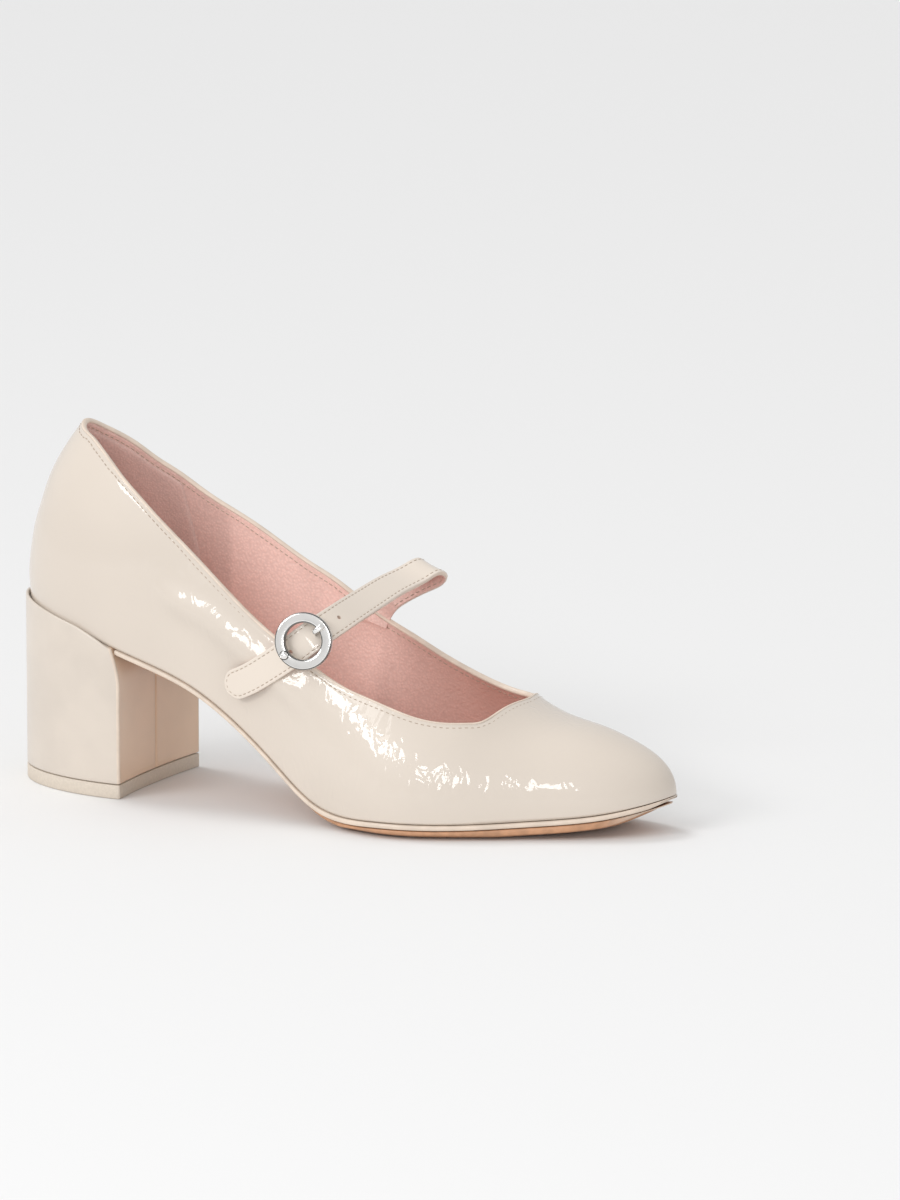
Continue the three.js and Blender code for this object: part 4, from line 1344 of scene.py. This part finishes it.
def build_buckle(scene):
    sizes = scene.pump_buckle
    floor = scene.pump_strap.thick / 2 + GAP
    top = floor + sizes.depth
    inner, outer, deep = sizes.outer - sizes.rim, sizes.outer, sizes.depth
    profile = [(inner + 0.5, 0), (outer - 0.5, 0), (outer - 0.15, 0.12), (outer, 0.4), (outer, 0.75)]
    profile += [(outer - 0.06, 0.82), (outer - 0.6, 0.9), (outer - 0.7, 1.2), (outer - 0.6, 1.5)]
    profile += [(outer - 0.06, 1.58), (outer, 1.66), (outer, deep - 0.4), (outer - 0.1, deep - 0.15)]
    profile += [(outer - 0.38, deep - 0.02), (outer - 0.6, deep), (outer - 1.6, deep - 0.03)]
    profile += [(inner + 0.75, deep), (inner + 0.45, deep - 0.04), (inner + 0.12, deep - 0.2)]
    profile += [(inner, deep - 0.5), (inner, 0.5), (inner + 0.15, 0.15)]
    # The two lower tones are painted shade and painted dark reflection: nearly black in the groove round the
    # ring's side, darker on its top bends, its inner wall and the inner wall's foot.
    metal_and_painted_shade = [metal_finish(scene.pump_colours, tone) for tone in (1.0, 0.5, 0.12)]
    groove, bends = (5, 6, 7, 8), (11, 12, 17, 18, 19, 20, 21)
    painted_shade_kinds = {k: 2 for k in groove} | {k: 1 for k in bends}
    ring = turned(scene, "ring", profile, 144, floor, metal_and_painted_shade, lambda i, k: painted_shade_kinds.get(k, 0))
    crease(ring, 40)
    finish_piece(ring, "buckle_metal", "buckle_ring")

    hole = HOLES_FROM_RING[1]
    over = top + GAP + sizes.prong_radius
    way = [(hole, -0.7), (hole + 0.02, floor), (hole + 0.1, floor + 1.2), (hole + 0.6, over - 0.5)]
    way += [(hole + 1.9, over + 0.25), (hole + 3.4, over + 0.1), (hole + 4.4, over - 0.05)]
    way = np.array(way)
    chords = np.concatenate([[0], np.cumsum(np.linalg.norm(np.diff(way, axis=0), axis=1))])
    track_x, track_z = Curve(chords, way[:, 0]), Curve(chords, way[:, 1])

    def spot(at):
        return np.array([float(track_x(at)), 0, float(track_z(at))])

    sideways = np.array([0, 1.0, 0])
    rings = []
    for share in np.linspace(0, 1, 44):
        at = share * chords[-1]
        out = np.cross(unit(spot(at + 0.05) - spot(at - 0.05)), sideways)
        narrowing = max(share - 0.88, 0) / 0.12
        wide = sizes.prong_radius * (1 + 0.25 * share) * (1 - 0.55 * narrowing)
        flat = sizes.prong_radius * (1 - 0.3 * share) * (1 - 0.5 * narrowing)
        around = []
        for k in range(20):
            c, s = math.cos(2 * math.pi * k / 20), math.sin(2 * math.pi * k / 20)
            across = sideways * wide * np.sign(c) * abs(c) ** 0.75
            around.append(spot(at) + across + out * flat * np.sign(s) * abs(s) ** 0.75)
        rings.append(on_ring(scene, around))
    # The prong's sides take the darker tone: painted shade along them.
    prong = loft("prong", rings, metal_and_painted_shade, lambda i, k: 1 if k in (0, 9, 10, 19) else 0)
    crease(prong, 55)
    finish_piece(prong, "buckle_metal", "buckle_prong")

    radius = 1.3
    profile = [(0, 0), (radius + 0.22, 0), (radius + 0.2, 0.1), (radius + 0.02, 0.1)]
    for turn in np.linspace(0, math.pi / 2, 9):
        profile.append((max(radius * math.cos(turn), 0), radius * 0.6 * math.sin(turn)))
    centre = (sizes.rim / 2 - sizes.outer, 0)
    lift = top + GAP / 3
    # The rivet's flange takes the darkest tone: painted shade round its foot.
    rivet = turned(scene, "rivet", profile, 40, lift, metal_and_painted_shade, lambda i, k: 2 if k < 3 else 0, centre, False)
    finish_piece(rivet, "buckle_metal", "prong_rivet")


# ---------------------------------------------------------------- stage and camera

# In metres and degrees, but the lens in millimetres. A bar is its azimuth, elevation, distance, width and
# height; a key is its azimuth, elevation, share of the key light and spread.

AIM = Vector((0.095, 0.001, 0.050))
CAMERA_RIGHT = 0.02975
CAMERA_UP = 0.01673
CAMERA_LENS = 280.73
BARS = (("bar_left", -18.5, 26, 2.5, 1.4, 0.42), ("bar_right", 21, 15, 3.3, 0.95, 0.5))
KEYS = (("key", -32, 48, 0.4, 28), ("rear_key", -104, 64, 0.62, 16))


def build_stage(scene):
    sizes = scene.pump_stage
    paper = Finish("studio_floor", 0.7, Specular_IOR_Level=0.1)
    paper.shader.inputs["Base Color"].default_value = (0.82, 0.82, 0.82, 1)
    reach = 9000.0
    rings = [[(x, y, -0.02) for y in (-reach, 0, reach)] for x in (-reach, 0, reach)]
    loft("floor", rings, [paper.material], caps=False, closed_ring=False, smooth=False)

    world = bpy.data.worlds.new("studio")
    world.use_nodes = True
    world.node_tree.nodes["Background"].inputs["Color"].default_value = (1, 1, 1, 1)
    world.node_tree.nodes["Background"].inputs["Strength"].default_value = sizes.room_light
    scene.world = world
    scene.view_settings.view_transform = "Standard"

    def toward(azimuth, elevation):
        flat = math.cos(elevation)
        return Vector((math.sin(azimuth) * flat, -math.cos(azimuth) * flat, math.sin(elevation)))

    def aimed(name, kind, azimuth, elevation, distance):
        light = bpy.data.lights.new(name, kind)
        away = toward(math.radians(azimuth), math.radians(elevation))
        lamp = bpy.data.objects.new(name, light)
        scene.collection.objects.link(lamp)
        lamp.location = AIM + away * distance
        lamp.rotation_euler = away.to_track_quat("Z", "Y").to_euler()
        lamp.visible_camera = False
        return light

    for name, azimuth, elevation, distance, width, height in BARS:
        light = aimed(name, "AREA", azimuth, elevation, distance)
        light.shape = "RECTANGLE"
        light.size = width
        light.size_y = height
        light.energy = sizes.bar_light * math.pi * width * height
    for name, azimuth, elevation, share, spread in KEYS:
        sun = aimed(name, "SUN", azimuth, elevation, 2.0)
        sun.energy = sizes.key_light * share
        sun.angle = math.radians(spread)

    camera = bpy.data.cameras.new("camera")
    camera.lens = CAMERA_LENS
    camera.sensor_width = 36
    camera.clip_start = 0.05
    camera.clip_end = 50
    holder = bpy.data.objects.new("camera", camera)
    scene.collection.objects.link(holder)
    back = toward(sizes.azimuth, sizes.elevation)
    right = Vector((math.cos(sizes.azimuth), math.sin(sizes.azimuth), 0))
    up = back.cross(right)
    place = AIM + sizes.distance * back + CAMERA_RIGHT * right + CAMERA_UP * up
    holder.matrix_world = Matrix.Translation(place) @ Matrix((right, up, back)).transposed().to_4x4()
    scene.camera = holder


# ---------------------------------------------------------------- operators


class PumpStep:
    """What the steps share: each builds its pieces from the scene's settings."""

    bl_options = {"REGISTER", "UNDO"}
    build = None

    def execute(self, context):
        before = len(bpy.data.objects)
        type(self).build(context.scene)
        if len(bpy.data.objects) <= before:
            raise RuntimeError(self.bl_label + ": nothing was made")
        return {"FINISHED"}


class PUMP_OT_stage(PumpStep, bpy.types.Operator):
    """Lay the floor and set the light and the camera"""

    bl_idname = "pump.stage"
    bl_label = "Stage"
    build = staticmethod(build_stage)


class PUMP_OT_sole(PumpStep, bpy.types.Operator):
    """Build the leather sole and the rand over it"""

    bl_idname = "pump.sole"
    bl_label = "Sole and rand"
    build = staticmethod(build_sole)


class PUMP_OT_heel(PumpStep, bpy.types.Operator):
    """Build the covered heel and its rubber top piece"""

    bl_idname = "pump.heel"
    bl_label = "Heel"
    build = staticmethod(build_heel)


class PUMP_OT_upper(PumpStep, bpy.types.Operator):
    """Build the patent wall, its lining, the topline edge and its stitches"""

    bl_idname = "pump.upper"
    bl_label = "Upper"
    build = staticmethod(build_upper)


class PUMP_OT_insole(PumpStep, bpy.types.Operator):
    """Build the sock over the insole"""

    bl_idname = "pump.insole"
    bl_label = "Insole"
    build = staticmethod(build_insole)


class PUMP_OT_strap(PumpStep, bpy.types.Operator):
    """Build the lined strap with its punched holes and its stitches"""

    bl_idname = "pump.strap"
    bl_label = "Strap"
    build = staticmethod(build_strap)


class PUMP_OT_elastic(PumpStep, bpy.types.Operator):
    """Build the elastic loop that holds the ring to the shoe"""

    bl_idname = "pump.elastic"
    bl_label = "Elastic"
    build = staticmethod(build_elastic)


class PUMP_OT_buckle(PumpStep, bpy.types.Operator):
    """Build the ring, its prong and its rivet"""

    bl_idname = "pump.buckle"
    bl_label = "Buckle"
    build = staticmethod(build_buckle)


class PUMP_PT_steps(bpy.types.Panel):
    """Lists the steps in the order they run"""

    bl_idname = "PUMP_PT_steps"
    bl_label = "Mary Jane Pump"
    bl_space_type = "VIEW_3D"
    bl_region_type = "UI"
    bl_category = "Pump"

    def draw(self, context):
        for step in STEPS:
            self.layout.operator(step.bl_idname)


SETTINGS = (
    ("pump_colours", PumpColours),
    ("pump_upper", UpperSizes),
    ("pump_strap", StrapSizes),
    ("pump_buckle", BuckleSizes),
    ("pump_sole", SoleSizes),
    ("pump_heel", HeelSizes),
    ("pump_stage", StageSizes),
)
STEPS = (
    PUMP_OT_stage,
    PUMP_OT_sole,
    PUMP_OT_heel,
    PUMP_OT_upper,
    PUMP_OT_insole,
    PUMP_OT_strap,
    PUMP_OT_elastic,
    PUMP_OT_buckle,
)


def register():
    for attribute, group in SETTINGS:
        bpy.utils.register_class(group)
        setattr(bpy.types.Scene, attribute, bpy.props.PointerProperty(type=group))
    for step in STEPS:
        bpy.utils.register_class(step)
    bpy.utils.register_class(PUMP_PT_steps)


def unregister():
    bpy.utils.unregister_class(PUMP_PT_steps)
    for step in reversed(STEPS):
        bpy.utils.unregister_class(step)
    for attribute, group in reversed(SETTINGS):
        delattr(bpy.types.Scene, attribute)
        bpy.utils.unregister_class(group)


def main():
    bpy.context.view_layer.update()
    register()
    for step in STEPS:
        group, name = step.bl_idname.split(".")
        getattr(getattr(bpy.ops, group), name)()
    bpy.context.view_layer.update()


if __name__ == "__main__":
    main()
